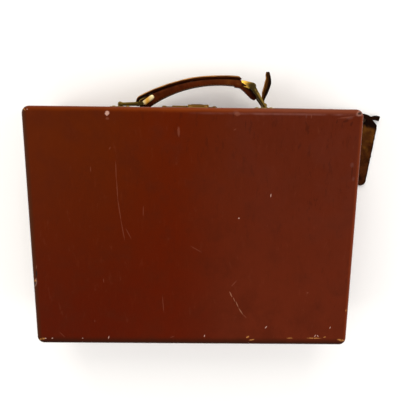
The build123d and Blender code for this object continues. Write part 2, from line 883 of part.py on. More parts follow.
with BuildPart() as handle_grip:
    with BuildSketch(handle_plane):
        grip_outline()
    extrude(amount=handle_width / 2, both=True)
    long_edges = handle_grip.faces().filter_by(Plane.XY).edges()
    fillet(long_edges, handle_edge)
    with BuildSketch(handle_plane):
        left_eye_outline()
    extrude(amount=handle_width, both=True, mode=Mode.SUBTRACT)
    with BuildSketch(handle_plane):
        right_eye_outline()
    extrude(amount=eye_width / 2, both=True, mode=Mode.SUBTRACT)
    with BuildSketch(handle_plane):
        core_outline()
    extrude(amount=handle_core_width / 2, both=True, mode=Mode.SUBTRACT)
    with BuildSketch(handle_plane):
        strip_region()
    extrude(amount=handle_width, both=True, mode=Mode.SUBTRACT)
save(handle_grip, "handle_grip")

with BuildPart() as handle_top_strip:
    with BuildSketch(handle_plane):
        grip_outline()
    extrude(amount=handle_width / 2, both=True)
    fillet(handle_top_strip.faces().filter_by(Plane.XY).edges(), handle_edge)
    with BuildSketch(handle_plane):
        strip_region()
    extrude(amount=handle_width, both=True, mode=Mode.INTERSECT)
    with BuildSketch(handle_plane):
        right_eye_outline()
    extrude(amount=eye_width / 2, both=True, mode=Mode.SUBTRACT)
save(handle_top_strip, "handle_top_strip")

# Leather tab that comes out under the handle's right end
tab_top = [(-23.0, 2.6), (-15.5, 0.4), (-8.5, -6.4), (-1.0, -14.0), (3.0, -16.4)]
tab_under = [(0.5, -18.6), (-6.0, -14.2), (-12.5, -7.6), (-19.5, -2.6), (-24.0, -0.6)]
with BuildPart() as handle_tab:
    with BuildSketch(handle_plane):
        with Locations((handle_span, 0)):
            Polygon(*tab_top, *tab_under, align=None)
    extrude(amount=tab_width / 2, both=True)
    with BuildSketch(handle_plane):
        grip_outline()
    extrude(amount=handle_width, both=True, mode=Mode.SUBTRACT)
save(handle_tab, "handle_tab")

# Lock plate, with an open notch for the hasp's staple and a slot for the button's shank
slot_low = button_left + (button_length - shank_length) / 2
slot_length = shank_length + bolt_travel + 2 * bolt_clearance
with BuildPart() as lock_plate:
    with BuildSketch(facing_front(lock_centre, front, lock_middle)):
        RectangleRounded(lock_length, lock_height, lock_corner)
    extrude(amount=lock_thickness)
    with BuildSketch(facing_front(hasp_centre, front, notch_bottom)):
        Rectangle(notch_width, lock_height, align=(Align.CENTER, Align.MIN))
    extrude(amount=lock_thickness, mode=Mode.SUBTRACT)
    with BuildSketch(facing_front(slot_low - bolt_clearance, front, staple_middle)):
        Rectangle(slot_length, shank_height + 2 * bolt_clearance, align=(Align.MIN, Align.CENTER))
    extrude(amount=lock_thickness, mode=Mode.SUBTRACT)
    round_holes(lock_rivets, rivet_radius, facing_front(0, front, 0), lock_thickness)
save(lock_plate, "lock_plate")
save(
    front_rivets(
        lock_rivets, lock_thickness, lock_thickness + lip_offset, rivet_radius, rivet_head_radius
    ),
    "lock_rivets",
)

# Lock case, let into the wall behind the plate
with BuildPart() as lock_case:
    with BuildSketch(facing_front(lock_centre, front, case_middle)):
        Rectangle(lock_case_length, lock_case_height)
    extrude(amount=-lock_case_depth)
    with BuildSketch(facing_front(lock_centre, front, case_middle)):
        Rectangle(lock_case_length - 2 * lock_case_wall, lock_case_height - 2 * lock_case_wall)
    extrude(amount=-(lock_case_depth - lock_case_wall), mode=Mode.SUBTRACT)
    with BuildSketch(facing_front(hasp_centre, front, case_middle)):
        Rectangle(notch_width, lock_case_height, align=(Align.CENTER, Align.MIN))
    extrude(amount=-notch_depth, mode=Mode.SUBTRACT)
save(lock_case, "lock_case")

# Bolt: a hooked plate that draws a tooth through the staple when the button slides
bolt_back = front + leather + 0.9
tooth_height = 3.2
hook_bottom = case_middle - lock_case_height / 2 + lock_case_wall + bolt_clearance
hook_width = 3.0
tooth_tip = hasp_centre - staple_thickness / 2 - 1.6
hook_outer = hasp_centre - staple_thickness / 2 - 0.6 - bolt_travel - hook_width
with BuildPart() as lock_bolt:
    with BuildSketch(facing_front(0, bolt_back, 0)):
        with Locations((slot_low + shank_length / 2, (hook_bottom + staple_middle + 2.5) / 2)):
            Rectangle(12.0, staple_middle + 2.5 - hook_bottom)
        with Locations(((hook_outer + slot_low) / 2, hook_bottom + 1.4)):
            Rectangle(slot_low - hook_outer, 2.8)
        with Locations((hook_outer + hook_width / 2, (hook_bottom + staple_middle + tooth_height / 2) / 2)):
            Rectangle(hook_width, staple_middle + tooth_height / 2 - hook_bottom)
        with Locations(((hook_outer + tooth_tip) / 2, staple_middle)):
            Rectangle(tooth_tip - hook_outer, tooth_height)
    extrude(amount=bolt_thickness)
    with BuildSketch(facing_front(slot_low + shank_length / 2, bolt_back, staple_middle)):
        Rectangle(shank_length, shank_height)
    extrude(amount=bolt_back - front + lock_thickness + button_gap)
save(lock_bolt, "lock_bolt")

# Thumb button on the outside of the plate
button_back = front - lock_thickness - button_gap
with BuildPart() as lock_button:
    with BuildSketch(facing_front(button_left, button_back, staple_middle)):
        Rectangle(button_length, button_height, align=(Align.MIN, Align.CENTER))
    extrude(amount=button_proud)
    fillet(lock_button.edges().filter_by(Axis.Y), 1.5)
    fillet(lock_button.faces().sort_by(Axis.Y)[0].edges(), button_edge)
    with BuildSketch(facing_front(button_left, button_back - button_proud, staple_middle)):
        with Locations((button_length / 2, 0)):
            with GridLocations(2.4, 0, 5, 1):
                Rectangle(1.0, button_height - 3.0)
    extrude(amount=-0.4, mode=Mode.SUBTRACT)
save(lock_button, "lock_button")

# Hasp plate on the lid, with the outer knuckles
hasp_axis_y = front - hasp_barrel_radius - hasp_wall_gap
hasp_left = hasp_centre - hasp_width / 2
hasp_middle_width = hasp_width - 2 * hasp_side_knuckle
with BuildPart() as hasp_plate:
    with BuildSketch(facing_front(hasp_centre, front, hasp_plate_bottom)):
        Rectangle(hasp_width, hasp_plate_height, align=(Align.CENTER, Align.MIN))
    extrude(amount=hasp_plate_thickness)
    fillet(hasp_plate.edges().filter_by(Axis.Y).group_by(Axis.Z)[-1], 4.0)
    for start in (hasp_left, hasp_left + hasp_width - hasp_side_knuckle):
        with BuildSketch(facing_front(start, front, hasp_axis_height)):
            web = hasp_plate_bottom - hasp_axis_height + 1
            Rectangle(hasp_side_knuckle, web, align=(Align.MIN, Align.MIN))
        extrude(amount=hasp_plate_thickness)
        with BuildSketch(facing_side(start, hasp_axis_y, hasp_axis_height)):
            Circle(hasp_barrel_radius)
        extrude(amount=hasp_side_knuckle)
    with BuildSketch(facing_side(hasp_left - 1, hasp_axis_y, hasp_axis_height)):
        Circle(hasp_pin_radius + running_clearance)
    extrude(amount=hasp_width + 2, mode=Mode.SUBTRACT)
    round_holes(hasp_rivets, loop_rivet_radius, facing_front(0, front, 0), hasp_plate_thickness)
save(hasp_plate, "hasp_plate")
save(
    front_rivets(
        hasp_rivets,
        hasp_plate_thickness,
        hasp_plate_thickness + leather + lid_wood,
        loop_rivet_radius,
        hasp_rivet_head,
    ),
    "hasp_rivets",
)

with BuildPart() as hasp_pin:
    with BuildSketch(facing_side(hasp_left, hasp_axis_y, hasp_axis_height)):
        Circle(hasp_pin_radius)
    extrude(amount=hasp_width)
    for end, way in ((hasp_left, -1), (hasp_left + hasp_width, 1)):
        with BuildSketch(facing_side(end, hasp_axis_y, hasp_axis_height)):
            Circle(hasp_pin_radius + 0.5)
        extrude(amount=0.5 * way)
save(hasp_pin, "hasp_pin")

# Hasp: a tongue with a raised boss that hangs from the lid over the lock
tongue_back = front - lock_thickness - hasp_gap
tongue_face = tongue_back - hasp_thickness
tongue_top = hasp_axis_height - hasp_barrel_radius - 0.8
boss_middle = lock_middle + 2.0
with BuildPart() as hasp:
    with BuildSketch(facing_front(hasp_centre, tongue_back, hasp_tongue_bottom)):
        Rectangle(hasp_width, tongue_top - hasp_tongue_bottom, align=(Align.CENTER, Align.MIN))
    extrude(amount=hasp_thickness)
    fillet(hasp.edges().filter_by(Axis.Y).group_by(Axis.Z)[0], 5.0)
    knuckle_width = hasp_middle_width - 2 * knuckle_gap
    with BuildSketch(facing_front(hasp_centre, tongue_back, tongue_top - 1)):
        Rectangle(knuckle_width, hasp_axis_height - tongue_top + 1, align=(Align.CENTER, Align.MIN))
    extrude(amount=hasp_thickness)
    with BuildSketch(facing_side(hasp_centre - knuckle_width / 2, hasp_axis_y, hasp_axis_height)):
        Circle(hasp_barrel_radius)
    extrude(amount=knuckle_width)
    with BuildSketch(facing_side(hasp_left - 1, hasp_axis_y, hasp_axis_height)):
        Circle(hasp_pin_radius + running_clearance)
    extrude(amount=hasp_width + 2, mode=Mode.SUBTRACT)
    with BuildSketch(facing_front(hasp_centre, tongue_face, boss_middle)):
        RectangleRounded(boss_width, boss_height, 3.0)
    with BuildSketch(facing_front(hasp_centre + boss_top_shift, front - boss_proud, boss_middle)):
        RectangleRounded(boss_top_width, boss_top_height, 2.4)
    loft()
save(hasp, "hasp")

# Staple on the hasp's back, with an eye for the bolt's tooth
eye_height = tooth_height + 2 * bolt_clearance
eye_front = bolt_back - bolt_thickness - bolt_clearance
with BuildPart() as hasp_staple:
    with BuildSketch(facing_side(hasp_centre - staple_thickness / 2, tongue_back, staple_middle)):
        Rectangle(staple_reach, staple_height, align=(Align.MIN, Align.CENTER))
    extrude(amount=staple_thickness)
    with BuildSketch(facing_side(hasp_centre - staple_thickness, eye_front, staple_middle)):
        Rectangle(bolt_thickness + 2 * bolt_clearance, eye_height, align=(Align.MIN, Align.CENTER))
    extrude(amount=2 * staple_thickness, mode=Mode.SUBTRACT)
    fillet(hasp_staple.edges().filter_by(Axis.X).group_by(Axis.Y)[-1], 0.8)
save(hasp_staple, "hasp_staple")

# Luggage label: back, card and front, lying beside the case
label_plane = Plane(
    origin=(-half_length - label_stand_off, front + label_shoulder_y, 0),
    x_dir=Vector(-1, 0, 0).rotate(Axis.Z, -label_tilt),
    z_dir=(0, 0, 1),
)


def label_outline(inset):
    """A long label with sloping shoulders and round lower corners."""
    half = label_width / 2 - inset
    top = label_top_width / 2 - inset / 2
    low = -label_length + inset
    with BuildLine() as outline:
        peak = label_shoulder - inset
        Polyline((-half, low), (-half, -inset / 2), (-top, peak), (top, peak))
        Polyline((top, peak), (half, -inset / 2), (half, low), (-half, low))
    make_face(outline.edges())
    fillet(vertices().group_by(Axis.Y)[0], max(label_corner - inset, 1.0))


label_rivet_point = (0.0, 4.5)


def label_layer(start, thickness, inset):
    with BuildPart() as layer:
        with BuildSketch(label_plane.offset(start)):
            label_outline(inset)
            with Locations(label_rivet_point):
                Circle(label_rivet_radius, mode=Mode.SUBTRACT)
        extrude(amount=thickness)
    return layer


save(label_layer(0, label_back, 0), "label_back")
save(label_layer(label_back, label_card, 4.0), "label_card")
save(label_layer(label_back + label_card, label_front, 0), "label_front")
label_top = label_back + label_card + label_front

# Label strap: an eye round the link's inner bar, a run along the foot of the front wall,
# and a flat end across the top of the label
strap_eye_inner = link_wire + strap_eye_clearance
strap_eye_outer = strap_eye_inner + strap_eye_wall
strap_gap_half = right_ear_gap / 2
label_eye_low = handle_height - strap_gap_half + 0.3
label_eye_high = handle_height - 0.2
strap_near = front - strap_wall_gap
strap_far = strap_near - strap_thickness
over_plate = front - plate_thickness - strap_slack
rivet_clear = front - plate_thickness - rivet_head_height - strap_slack
floor_reach = 7.0
floor_lift = 0.4
slope_low_run = 16.0
slope_high_run = 14.0
eye_run = 8.0
floor_x = -half_length - floor_reach
rivet_spot = label_plane.from_local_coords(label_rivet_point)
with BuildPart() as label_strap:
    with BuildSketch(Plane.XY):
        with BuildLine():
            Polyline(
                (anchor_right - 1.5, anchor_y + strap_eye_outer - 0.4),
                (anchor_right - 5.0, rivet_clear),
                (anchor_right - plate_length / 2 - 1.0, rivet_clear),
                (anchor_right - plate_length / 2 - 7.0, strap_near),
                (floor_x, strap_near),
                (floor_x, strap_far),
                (anchor_right - plate_length / 2 - 7.0, strap_far),
                (anchor_right - plate_length / 2 - 1.0, rivet_clear - strap_thickness),
                (anchor_right - 5.0, rivet_clear - strap_thickness),
                (anchor_right - 1.5, anchor_y - strap_eye_outer + 1.2),
                (anchor_right - 1.5, anchor_y + strap_eye_outer - 0.4),
            )
        make_face()
    extrude(amount=handle_height + 10)
    with BuildSketch(facing_front(0, front, 0)):
        with BuildLine():
            Polyline(
                (anchor_right, label_eye_high),
                (anchor_right - eye_run, label_eye_high),
                (floor_x + slope_high_run, label_top + strap_thickness + 2.5),
                (floor_x, label_top + strap_thickness),
                (floor_x, floor_lift),
                (floor_x + slope_low_run, floor_lift),
                (anchor_right - eye_run, label_eye_low),
                (anchor_right, label_eye_low),
                (anchor_right, label_eye_high),
            )
        make_face()
    extrude(amount=40, both=True, mode=Mode.INTERSECT)
    with BuildSketch(upright(anchor_right, anchor_y, label_eye_low)):
        Circle(strap_eye_outer)
    extrude(amount=label_eye_high - label_eye_low)
    with BuildSketch(upright(anchor_right, anchor_y, 0)):
        Circle(strap_eye_inner)
    extrude(amount=2 * handle_height, mode=Mode.SUBTRACT)
    with BuildSketch(Plane.XY.offset(label_top)):
        with BuildLine() as strap_line:
            FilletPolyline(
                (floor_x + 4.0, strap_near - strap_thickness / 2 - 3.0),
                (rivet_spot.X, rivet_spot.Y),
                (-half_length - strap_tip_stand_off + strap_width / 2, front + 12.5),
                radius=6.0,
            )
        trace(strap_line.line, strap_width)
    extrude(amount=strap_thickness)
    with BuildSketch(Plane.XY.offset(label_top)):
        with Locations((rivet_spot.X, rivet_spot.Y)):
            Circle(label_rivet_radius)
    extrude(amount=strap_thickness, mode=Mode.SUBTRACT)
save(label_strap, "label_strap")

with BuildPart() as label_stud:
    rivet(
        upright(rivet_spot.X, rivet_spot.Y, label_top + strap_thickness),
        label_rivet_radius,
        label_top + strap_thickness,
        2.8,
        0.9,
    )
save(label_stud, "label_stud")

# Loose end of the strap, which stands out beside the handle's right link
loose_low = handle_height + 0.2
loose_high = handle_height + strap_gap_half - 0.3
loose_middle = (loose_low + loose_high) / 2
loose_neck = 7.0
loose_shoulder = 14.0
loose_neck_half = 2.0
loose_half = strap_end_width / 2
lean = math.radians(strap_end_lean)
loose_plane = Plane(
    origin=(anchor_right, anchor_y, loose_middle),
    x_dir=(-math.sin(lean), -math.cos(lean), 0),
    z_dir=(0, 0, 1),
)
with BuildPart() as strap_loose_end:
    with BuildSketch(loose_plane):
        with BuildLine():
            Polyline(
                (1.0, -loose_neck_half),
                (loose_neck, -loose_neck_half),
                (loose_shoulder, -loose_half),
                (strap_end_length - 5.0, -loose_half),
                (strap_end_length, -1.2),
                (strap_end_length + 0.4, 1.6),
                (strap_end_length - 3.0, loose_half),
                (loose_shoulder, loose_half),
                (loose_neck, loose_neck_half),
                (1.0, loose_neck_half),
                (1.0, -loose_neck_half),
            )
        make_face()
    extrude(amount=strap_end_thickness / 2, both=True)
    with BuildSketch(upright(anchor_right, anchor_y, loose_low)):
        Circle(strap_eye_outer)
    extrude(amount=loose_high - loose_low)
    with BuildSketch(upright(anchor_right, anchor_y, 0)):
        Circle(strap_eye_inner)
    extrude(amount=2 * handle_height, mode=Mode.SUBTRACT)
save(strap_loose_end, "strap_loose_end")
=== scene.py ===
import json
import math

import bpy
from mathutils import Matrix, Vector, noise


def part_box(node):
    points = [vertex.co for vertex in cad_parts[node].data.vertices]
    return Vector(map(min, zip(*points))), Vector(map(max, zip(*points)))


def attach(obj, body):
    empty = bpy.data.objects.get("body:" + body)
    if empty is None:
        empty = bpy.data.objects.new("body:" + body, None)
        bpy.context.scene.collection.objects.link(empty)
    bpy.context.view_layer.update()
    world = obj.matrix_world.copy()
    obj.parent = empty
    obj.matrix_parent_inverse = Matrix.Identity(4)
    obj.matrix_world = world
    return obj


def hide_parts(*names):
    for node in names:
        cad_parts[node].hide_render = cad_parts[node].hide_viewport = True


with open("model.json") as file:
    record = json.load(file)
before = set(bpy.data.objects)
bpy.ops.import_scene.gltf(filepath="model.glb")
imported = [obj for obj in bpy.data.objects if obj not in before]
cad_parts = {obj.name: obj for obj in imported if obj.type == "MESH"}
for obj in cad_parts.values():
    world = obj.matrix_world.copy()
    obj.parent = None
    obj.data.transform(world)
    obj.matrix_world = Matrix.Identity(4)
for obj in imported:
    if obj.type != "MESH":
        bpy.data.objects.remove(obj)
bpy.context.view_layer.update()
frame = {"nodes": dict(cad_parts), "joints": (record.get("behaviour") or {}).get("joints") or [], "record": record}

mm = 0.001
nodes = frame["nodes"]
jointPlace = {joint["name"]: Vector(joint.get("pos_m", (0, 0, 0))) for joint in frame["joints"]}


# Helpers for taking pieces up, picking parts of them and finishing them

def clamp(value, low=0, high=1):
    return min(max(value, low), high)


def near(value, goal):
    return abs(value - goal) < 1e-6


def clearSelection():
    if bpy.context.object and bpy.context.object.mode != "OBJECT":
        bpy.ops.object.mode_set(mode="OBJECT")
    bpy.ops.object.select_all(action="DESELECT")


def takeUp(piece):
    clearSelection()
    piece.select_set(True)
    bpy.context.view_layer.objects.active = piece


def settle(piece):  # puts its place, turn and size into the mesh
    takeUp(piece)
    bpy.ops.object.transform_apply(location=True, rotation=True, scale=True)


def pick(piece, kind, test):  # leaves the piece in edit mode with what passes the test selected
    takeUp(piece)
    bpy.ops.object.mode_set(mode="EDIT")
    bpy.ops.mesh.select_mode(type=kind)
    bpy.ops.mesh.select_all(action="DESELECT")
    bpy.ops.object.mode_set(mode="OBJECT")
    mesh = piece.data
    if kind == "FACE":
        for face in mesh.polygons:
            face.select = test(face.center, face.normal)
    elif kind == "EDGE":
        for edge in mesh.edges:
            edge.select = test(*[mesh.vertices[i].co for i in edge.vertices])
    else:
        for vertex in mesh.vertices:
            vertex.select = test(vertex.co)
    bpy.ops.object.mode_set(mode="EDIT")


def pickAll(piece):
    takeUp(piece)
    bpy.ops.object.mode_set(mode="EDIT")
    bpy.ops.mesh.select_all(action="SELECT")


def done():
    bpy.ops.object.mode_set(mode="OBJECT")


def applyModifier(piece, kind, **settings):
    takeUp(piece)
    modifier = piece.modifiers.new(kind.title(), kind)
    for name, value in settings.items():
        setattr(modifier, name, value)
    bpy.ops.object.modifier_apply(modifier=modifier.name)


def softenEdges(piece, width, segments, angle=60):
    applyModifier(piece, "BEVEL", width=width, segments=segments, angle_limit=math.radians(angle))


def bevelEdges(piece, width, segments, test):
    pick(piece, "EDGE", test)
    bpy.ops.mesh.bevel(offset=width, segments=segments, affect="EDGES")
    done()


def deleteFaces(piece, test):
    pick(piece, "FACE", test)
    bpy.ops.mesh.delete(type="FACE")
    done()


def smoothShade(piece, angle=35):
    takeUp(piece)
    bpy.ops.object.shade_smooth_by_angle(angle=math.radians(angle))


def faceOutwards(piece):
    pickAll(piece)
    bpy.ops.mesh.remove_doubles(threshold=1e-6)
    bpy.ops.mesh.normals_make_consistent(inside=False)
    done()


def finishPiece(piece, name, body, material, stands=(), angle=35):
    smoothShade(piece, angle)
    piece.name = name
    piece.data.name = name
    piece.data.materials.clear()
    piece.data.materials.append(material)
    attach(piece, body)
    if stands:
        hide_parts(*stands)
    return piece


def addBlock(low, high):
    clearSelection()
    bpy.ops.mesh.primitive_cube_add(size=1, location=(low + high) / 2, scale=high - low)
    block = bpy.context.object
    settle(block)
    return block


def cutGrid(piece, step, directions):  # lines across the whole piece, so that it can be shaped
    for direction in directions:
        places = [vertex.co.dot(direction) for vertex in piece.data.vertices]
        count = math.ceil((max(places) - min(places)) / step)
        for i in range(1, count):
            place = min(places) + (max(places) - min(places)) * i / count
            pickAll(piece)
            bpy.ops.mesh.bisect(plane_co=direction * place, plane_no=direction)
    done()


def arcHeight(left, middle, right):  # the height of the arc through three points
    (ax, ay), (bx, by), (cx, cy) = left, middle, right
    twice = 2 * (ax * (by - cy) + bx * (cy - ay) + cx * (ay - by))
    a2, b2, c2 = ax * ax + ay * ay, bx * bx + by * by, cx * cx + cy * cy
    ux = (a2 * (by - cy) + b2 * (cy - ay) + c2 * (ay - by)) / twice
    uy = (a2 * (cx - bx) + b2 * (ax - cx) + c2 * (bx - ax)) / twice
    radius = math.hypot(ax - ux, ay - uy)
    return lambda x: uy + math.sqrt(max(radius * radius - (x - ux) ** 2, 0))


def smoothRoute(points, count):  # even steps along a smooth curve through the points
    points = [Vector(point) for point in points]
    padded = [2 * points[0] - points[1], *points, 2 * points[-1] - points[-2]]
    fine, steps = [], 24
    for i in range(len(points) - 1):
        a, b, c, d = padded[i:i + 4]
        for j in range(steps):
            t = j / steps
            fine.append(
                0.5 * (2 * b + (c - a) * t + (2 * a - 5 * b + 4 * c - d) * t ** 2
                + (3 * b - a - 3 * c + d) * t ** 3))
    fine.append(points[-1])
    lengths = [0]
    for a, b in zip(fine, fine[1:]):
        lengths.append(lengths[-1] + (b - a).length)
    route, k = [], 0
    for i in range(count + 1):
        goal = lengths[-1] * i / count
        while k < len(fine) - 2 and lengths[k + 1] < goal:
            k += 1
        share = (goal - lengths[k]) / max(lengths[k + 1] - lengths[k], 1e-9)
        route.append(fine[k].lerp(fine[k + 1], clamp(share)))
    return route


def layRibbon(route, across, width, thickness, crown=0, lanes=6, rounding=0.28):
    # a flat strip whose middle follows the route, with its sides along across
    count = len(route) - 1
    clearSelection()
    bpy.ops.mesh.primitive_grid_add(x_subdivisions=count, y_subdivisions=lanes, size=2)
    strip = bpy.context.object
    for vertex in strip.data.vertices:
        share = (vertex.co.x + 1) / 2
        i = min(round(share * count), count)
        along = (route[min(i + 1, count)] - route[max(i - 1, 0)]).normalized()
        side = across[i] if isinstance(across, list) else across
        side = (side - along * side.dot(along)).normalized()
        face = along.cross(side)
        v = vertex.co.y
        vertex.co = route[i] + side * v * width(share) / 2 + face * crown * (1 - v * v)
    applyModifier(strip, "SOLIDIFY", thickness=thickness, offset=0)
    softenEdges(strip, thickness * rounding, 3, 50)
    faceOutwards(strip)
    return strip


def tubeShape(stations, section):
    # a rod along local X, whose points go where the section puts them
    clearSelection()
    bpy.ops.mesh.primitive_cylinder_add(
        vertices=28, radius=1, depth=1, rotation=(0, math.pi / 2, 0), end_fill_type="TRIFAN")
    rod = bpy.context.object
    settle(rod)
    cutGrid(rod, 1 / stations, [Vector((1, 0, 0))])
    for vertex in rod.data.vertices:
        vertex.co = section(clamp(vertex.co.x + 0.5), vertex.co.y, vertex.co.z)
    faceOutwards(rod)
    return rod


def rowOf(pattern, places):  # one mesh that holds a copy of the pattern at each place
    corners = [vertex.co.copy() for vertex in pattern.data.vertices]
    faces = [list(face.vertices) for face in pattern.data.polygons]
    points, shapes = [], []
    for place in places:
        shapes += [[i + len(points) for i in face] for face in faces]
        points += [place @ corner for corner in corners]
    mesh = bpy.data.meshes.new("row")
    mesh.from_pydata(points, [], shapes)
    row = bpy.data.objects.new("row", mesh)
    bpy.context.scene.collection.objects.link(row)
    return row


def plateShape(outline, low, high):  # a flat plate with the given outline, in millimetres
    clearSelection()
    bpy.ops.mesh.primitive_circle_add(vertices=len(outline), radius=1, fill_type="NGON")
    plate = bpy.context.object
    for vertex, (x, y) in zip(plate.data.vertices, outline):
        vertex.co = Vector((x, y, low)) * mm
    pickAll(plate)
    bpy.ops.mesh.extrude_region_move(TRANSFORM_OT_translate={"value": (0, 0, (high - low) * mm)})
    done()
    faceOutwards(plate)
    return plate


def hullOutline(first, firstRadius, second, secondRadius, count=9):  # round two circles
    gap = Vector(second) - Vector(first)
    facing = math.atan2(gap.y, gap.x)
    turn = math.acos((firstRadius - secondRadius) / gap.length)
    points = []
    for middle, radius, start, sweep in (
            (second, secondRadius, facing - turn, 2 * turn),
            (first, firstRadius, facing + turn, 2 * (math.pi - turn))):
        for i in range(count + 1):
            angle = start + sweep * i / count
            points.append((middle[0] + radius * math.cos(angle), middle[1] + radius * math.sin(angle)))
    return points


def addRod(radius, low, high, place):  # an upright rod, in millimetres
    clearSelection()
    bpy.ops.mesh.primitive_cylinder_add(
        vertices=20, radius=radius * mm, depth=(high - low) * mm,
        location=(place[0] * mm, place[1] * mm, (low + high) / 2 * mm))
    rod = bpy.context.object
    settle(rod)
    return rod


def joinPieces(pieces):
    clearSelection()
    for piece in pieces:
        piece.select_set(True)
    bpy.context.view_layer.objects.active = pieces[0]
    bpy.ops.object.join()
    return pieces[0]


def storeWearAndLight(piece, name, value):  # a number at each vertex that a material reads
    layer = piece.data.attributes.new(name, "FLOAT", "POINT")
    for vertex in piece.data.vertices:
        layer.data[vertex.index].value = clamp(value(vertex.co, vertex.normal))


def remove(piece):
    bpy.data.objects.remove(piece)


# Helpers for materials

def setSockets(tree, node, sockets):  # links an output, and sets anything else
    for name, value in sockets.items():
        if isinstance(value, bpy.types.NodeSocket):
            tree.links.new(value, node.inputs[name])
        else:
            node.inputs[name].default_value = value


def addNode(tree, kind, sockets=None, **settings):
    node = tree.nodes.new(kind)
    for name, value in settings.items():
        setattr(node, name, value)
    setSockets(tree, node, sockets or {})
    return node


def reckon(tree, operation, *values, clamp=False):
    return addNode(
        tree, "ShaderNodeMath", dict(enumerate(values)), operation=operation, use_clamp=clamp
    ).outputs[0]


def spread(tree, value, low, high, toLow=0.0, toHigh=1.0):  # a soft step from low to high
    return addNode(
        tree, "ShaderNodeMapRange",
        {"Value": value, "From Min": low, "From Max": high, "To Min": toLow, "To Max": toHigh},
        interpolation_type="SMOOTHSTEP",
    ).outputs[0]


def blendColours(tree, share, first, second):  # a mix node takes colours at 6 and 7 and gives one at 2
    first, second = (
        colour if isinstance(colour, bpy.types.NodeSocket) else (*colour, 1) for colour in (first, second))
    return addNode(tree, "ShaderNodeMix", {0: share, 6: first, 7: second}, data_type="RGBA").outputs[2]


def cloud(tree, vector, scale, detail=3.0, rough=0.5, stretch=None):
    if stretch:
        vector = addNode(tree, "ShaderNodeMapping", {"Vector": vector, "Scale": stretch}).outputs[0]
    return addNode(
        tree, "ShaderNodeTexNoise",
        {"Vector": vector, "Scale": scale, "Detail": detail, "Roughness": rough},
    ).outputs[0]


def startGroup(name, inputs, outputs):
    group = bpy.data.node_groups.new(name, "ShaderNodeTree")
    for label, kind, value in inputs:
        socket = group.interface.new_socket(label, in_out="INPUT", socket_type="NodeSocket" + kind)
        if value is not None:
            socket.default_value = value
    for label, kind in outputs:
        group.interface.new_socket(label, in_out="OUTPUT", socket_type="NodeSocket" + kind)
    return group, group.nodes.new("NodeGroupInput").outputs, group.nodes.new("NodeGroupOutput").inputs


def useGroup(tree, group, sockets):
    return addNode(tree, "ShaderNodeGroup", sockets, node_tree=group).outputs


def addBump(tree, height, distance, strength):
    return addNode(
        tree, "ShaderNodeBump", {"Height": height, "Distance": distance, "Strength": strength}).outputs[0]


def readWearAndLight(tree, name):  # the number that storeWearAndLight left on a piece, or nothing
    return addNode(tree, "ShaderNodeAttribute", attribute_name=name).outputs["Fac"]


def startMaterial(name, colour):
    material = bpy.data.materials.new(name)
    material.use_nodes = True
    material.diffuse_color = (*colour, 1)
    tree = material.node_tree
    shader = tree.nodes["Principled BSDF"]
    place = tree.nodes.new("ShaderNodeTexCoord").outputs["Object"]
    return material, tree, shader, place


# Shared effects

def makeLeatherGrain():
    # fine pebbles between creases, and a slower change of tone
    group, given, out = startGroup(
        "leatherGrain",
        [("Vector", "Vector", None), ("Cells", "Float", 900.0), ("Creases", "Float", 90.0)],
        [("Height", "Float"), ("Tone", "Float")])
    drift = addNode(group, "ShaderNodeTexNoise", {"Vector": given["Vector"], "Scale": 300.0})
    shifted = addNode(group, "ShaderNodeVectorMath", {
        0: drift.outputs["Color"], 1: (0.0006, 0.0006, 0.0006), 2: given["Vector"]},
        operation="MULTIPLY_ADD")
    cells = addNode(group, "ShaderNodeTexVoronoi", {
        "Vector": shifted.outputs[0], "Scale": given["Cells"]}, feature="DISTANCE_TO_EDGE")
    pebble = spread(group, cells.outputs["Distance"], 0.0, 0.35)
    crease = cloud(group, given["Vector"], given["Creases"], 6.0, 0.65)
    folds = spread(group, crease, 0.46, 0.52)
    height = reckon(group, "MULTIPLY_ADD", pebble, 0.6, reckon(group, "MULTIPLY", folds, 0.4))
    group.links.new(height, out["Height"])
    tone = cloud(group, given["Vector"], reckon(group, "MULTIPLY", given["Cells"], 0.35), 5.0, 0.6)
    group.links.new(tone, out["Tone"])
    return group


def makeMark():
    # a short scratch or chip: its place, turn and half sizes move it onto a unit circle
    group, given, out = startGroup(
        "mark",
        [("Vector", "Vector", None), ("Ragged", "Float", 0.5), ("Place", "Vector", (0, 0, 0)),
         ("Turn", "Vector", (0, 0, 0)), ("Size", "Vector", (1, 1, 1))],
        [("Mask", "Float")])
    moved = addNode(group, "ShaderNodeMapping", {
        "Vector": given["Vector"], "Location": given["Place"], "Rotation": given["Turn"],
        "Scale": given["Size"]}, vector_type="TEXTURE")
    reach = addNode(group, "ShaderNodeVectorMath", {0: moved.outputs[0]}, operation="LENGTH")
    group.links.new(spread(group, reckon(
        group, "MULTIPLY_ADD", given["Ragged"], 0.9, reach.outputs["Value"]), 1.6, 1.1), out["Mask"])
    return group


leatherGrain = makeLeatherGrain()
markGroup = makeMark()

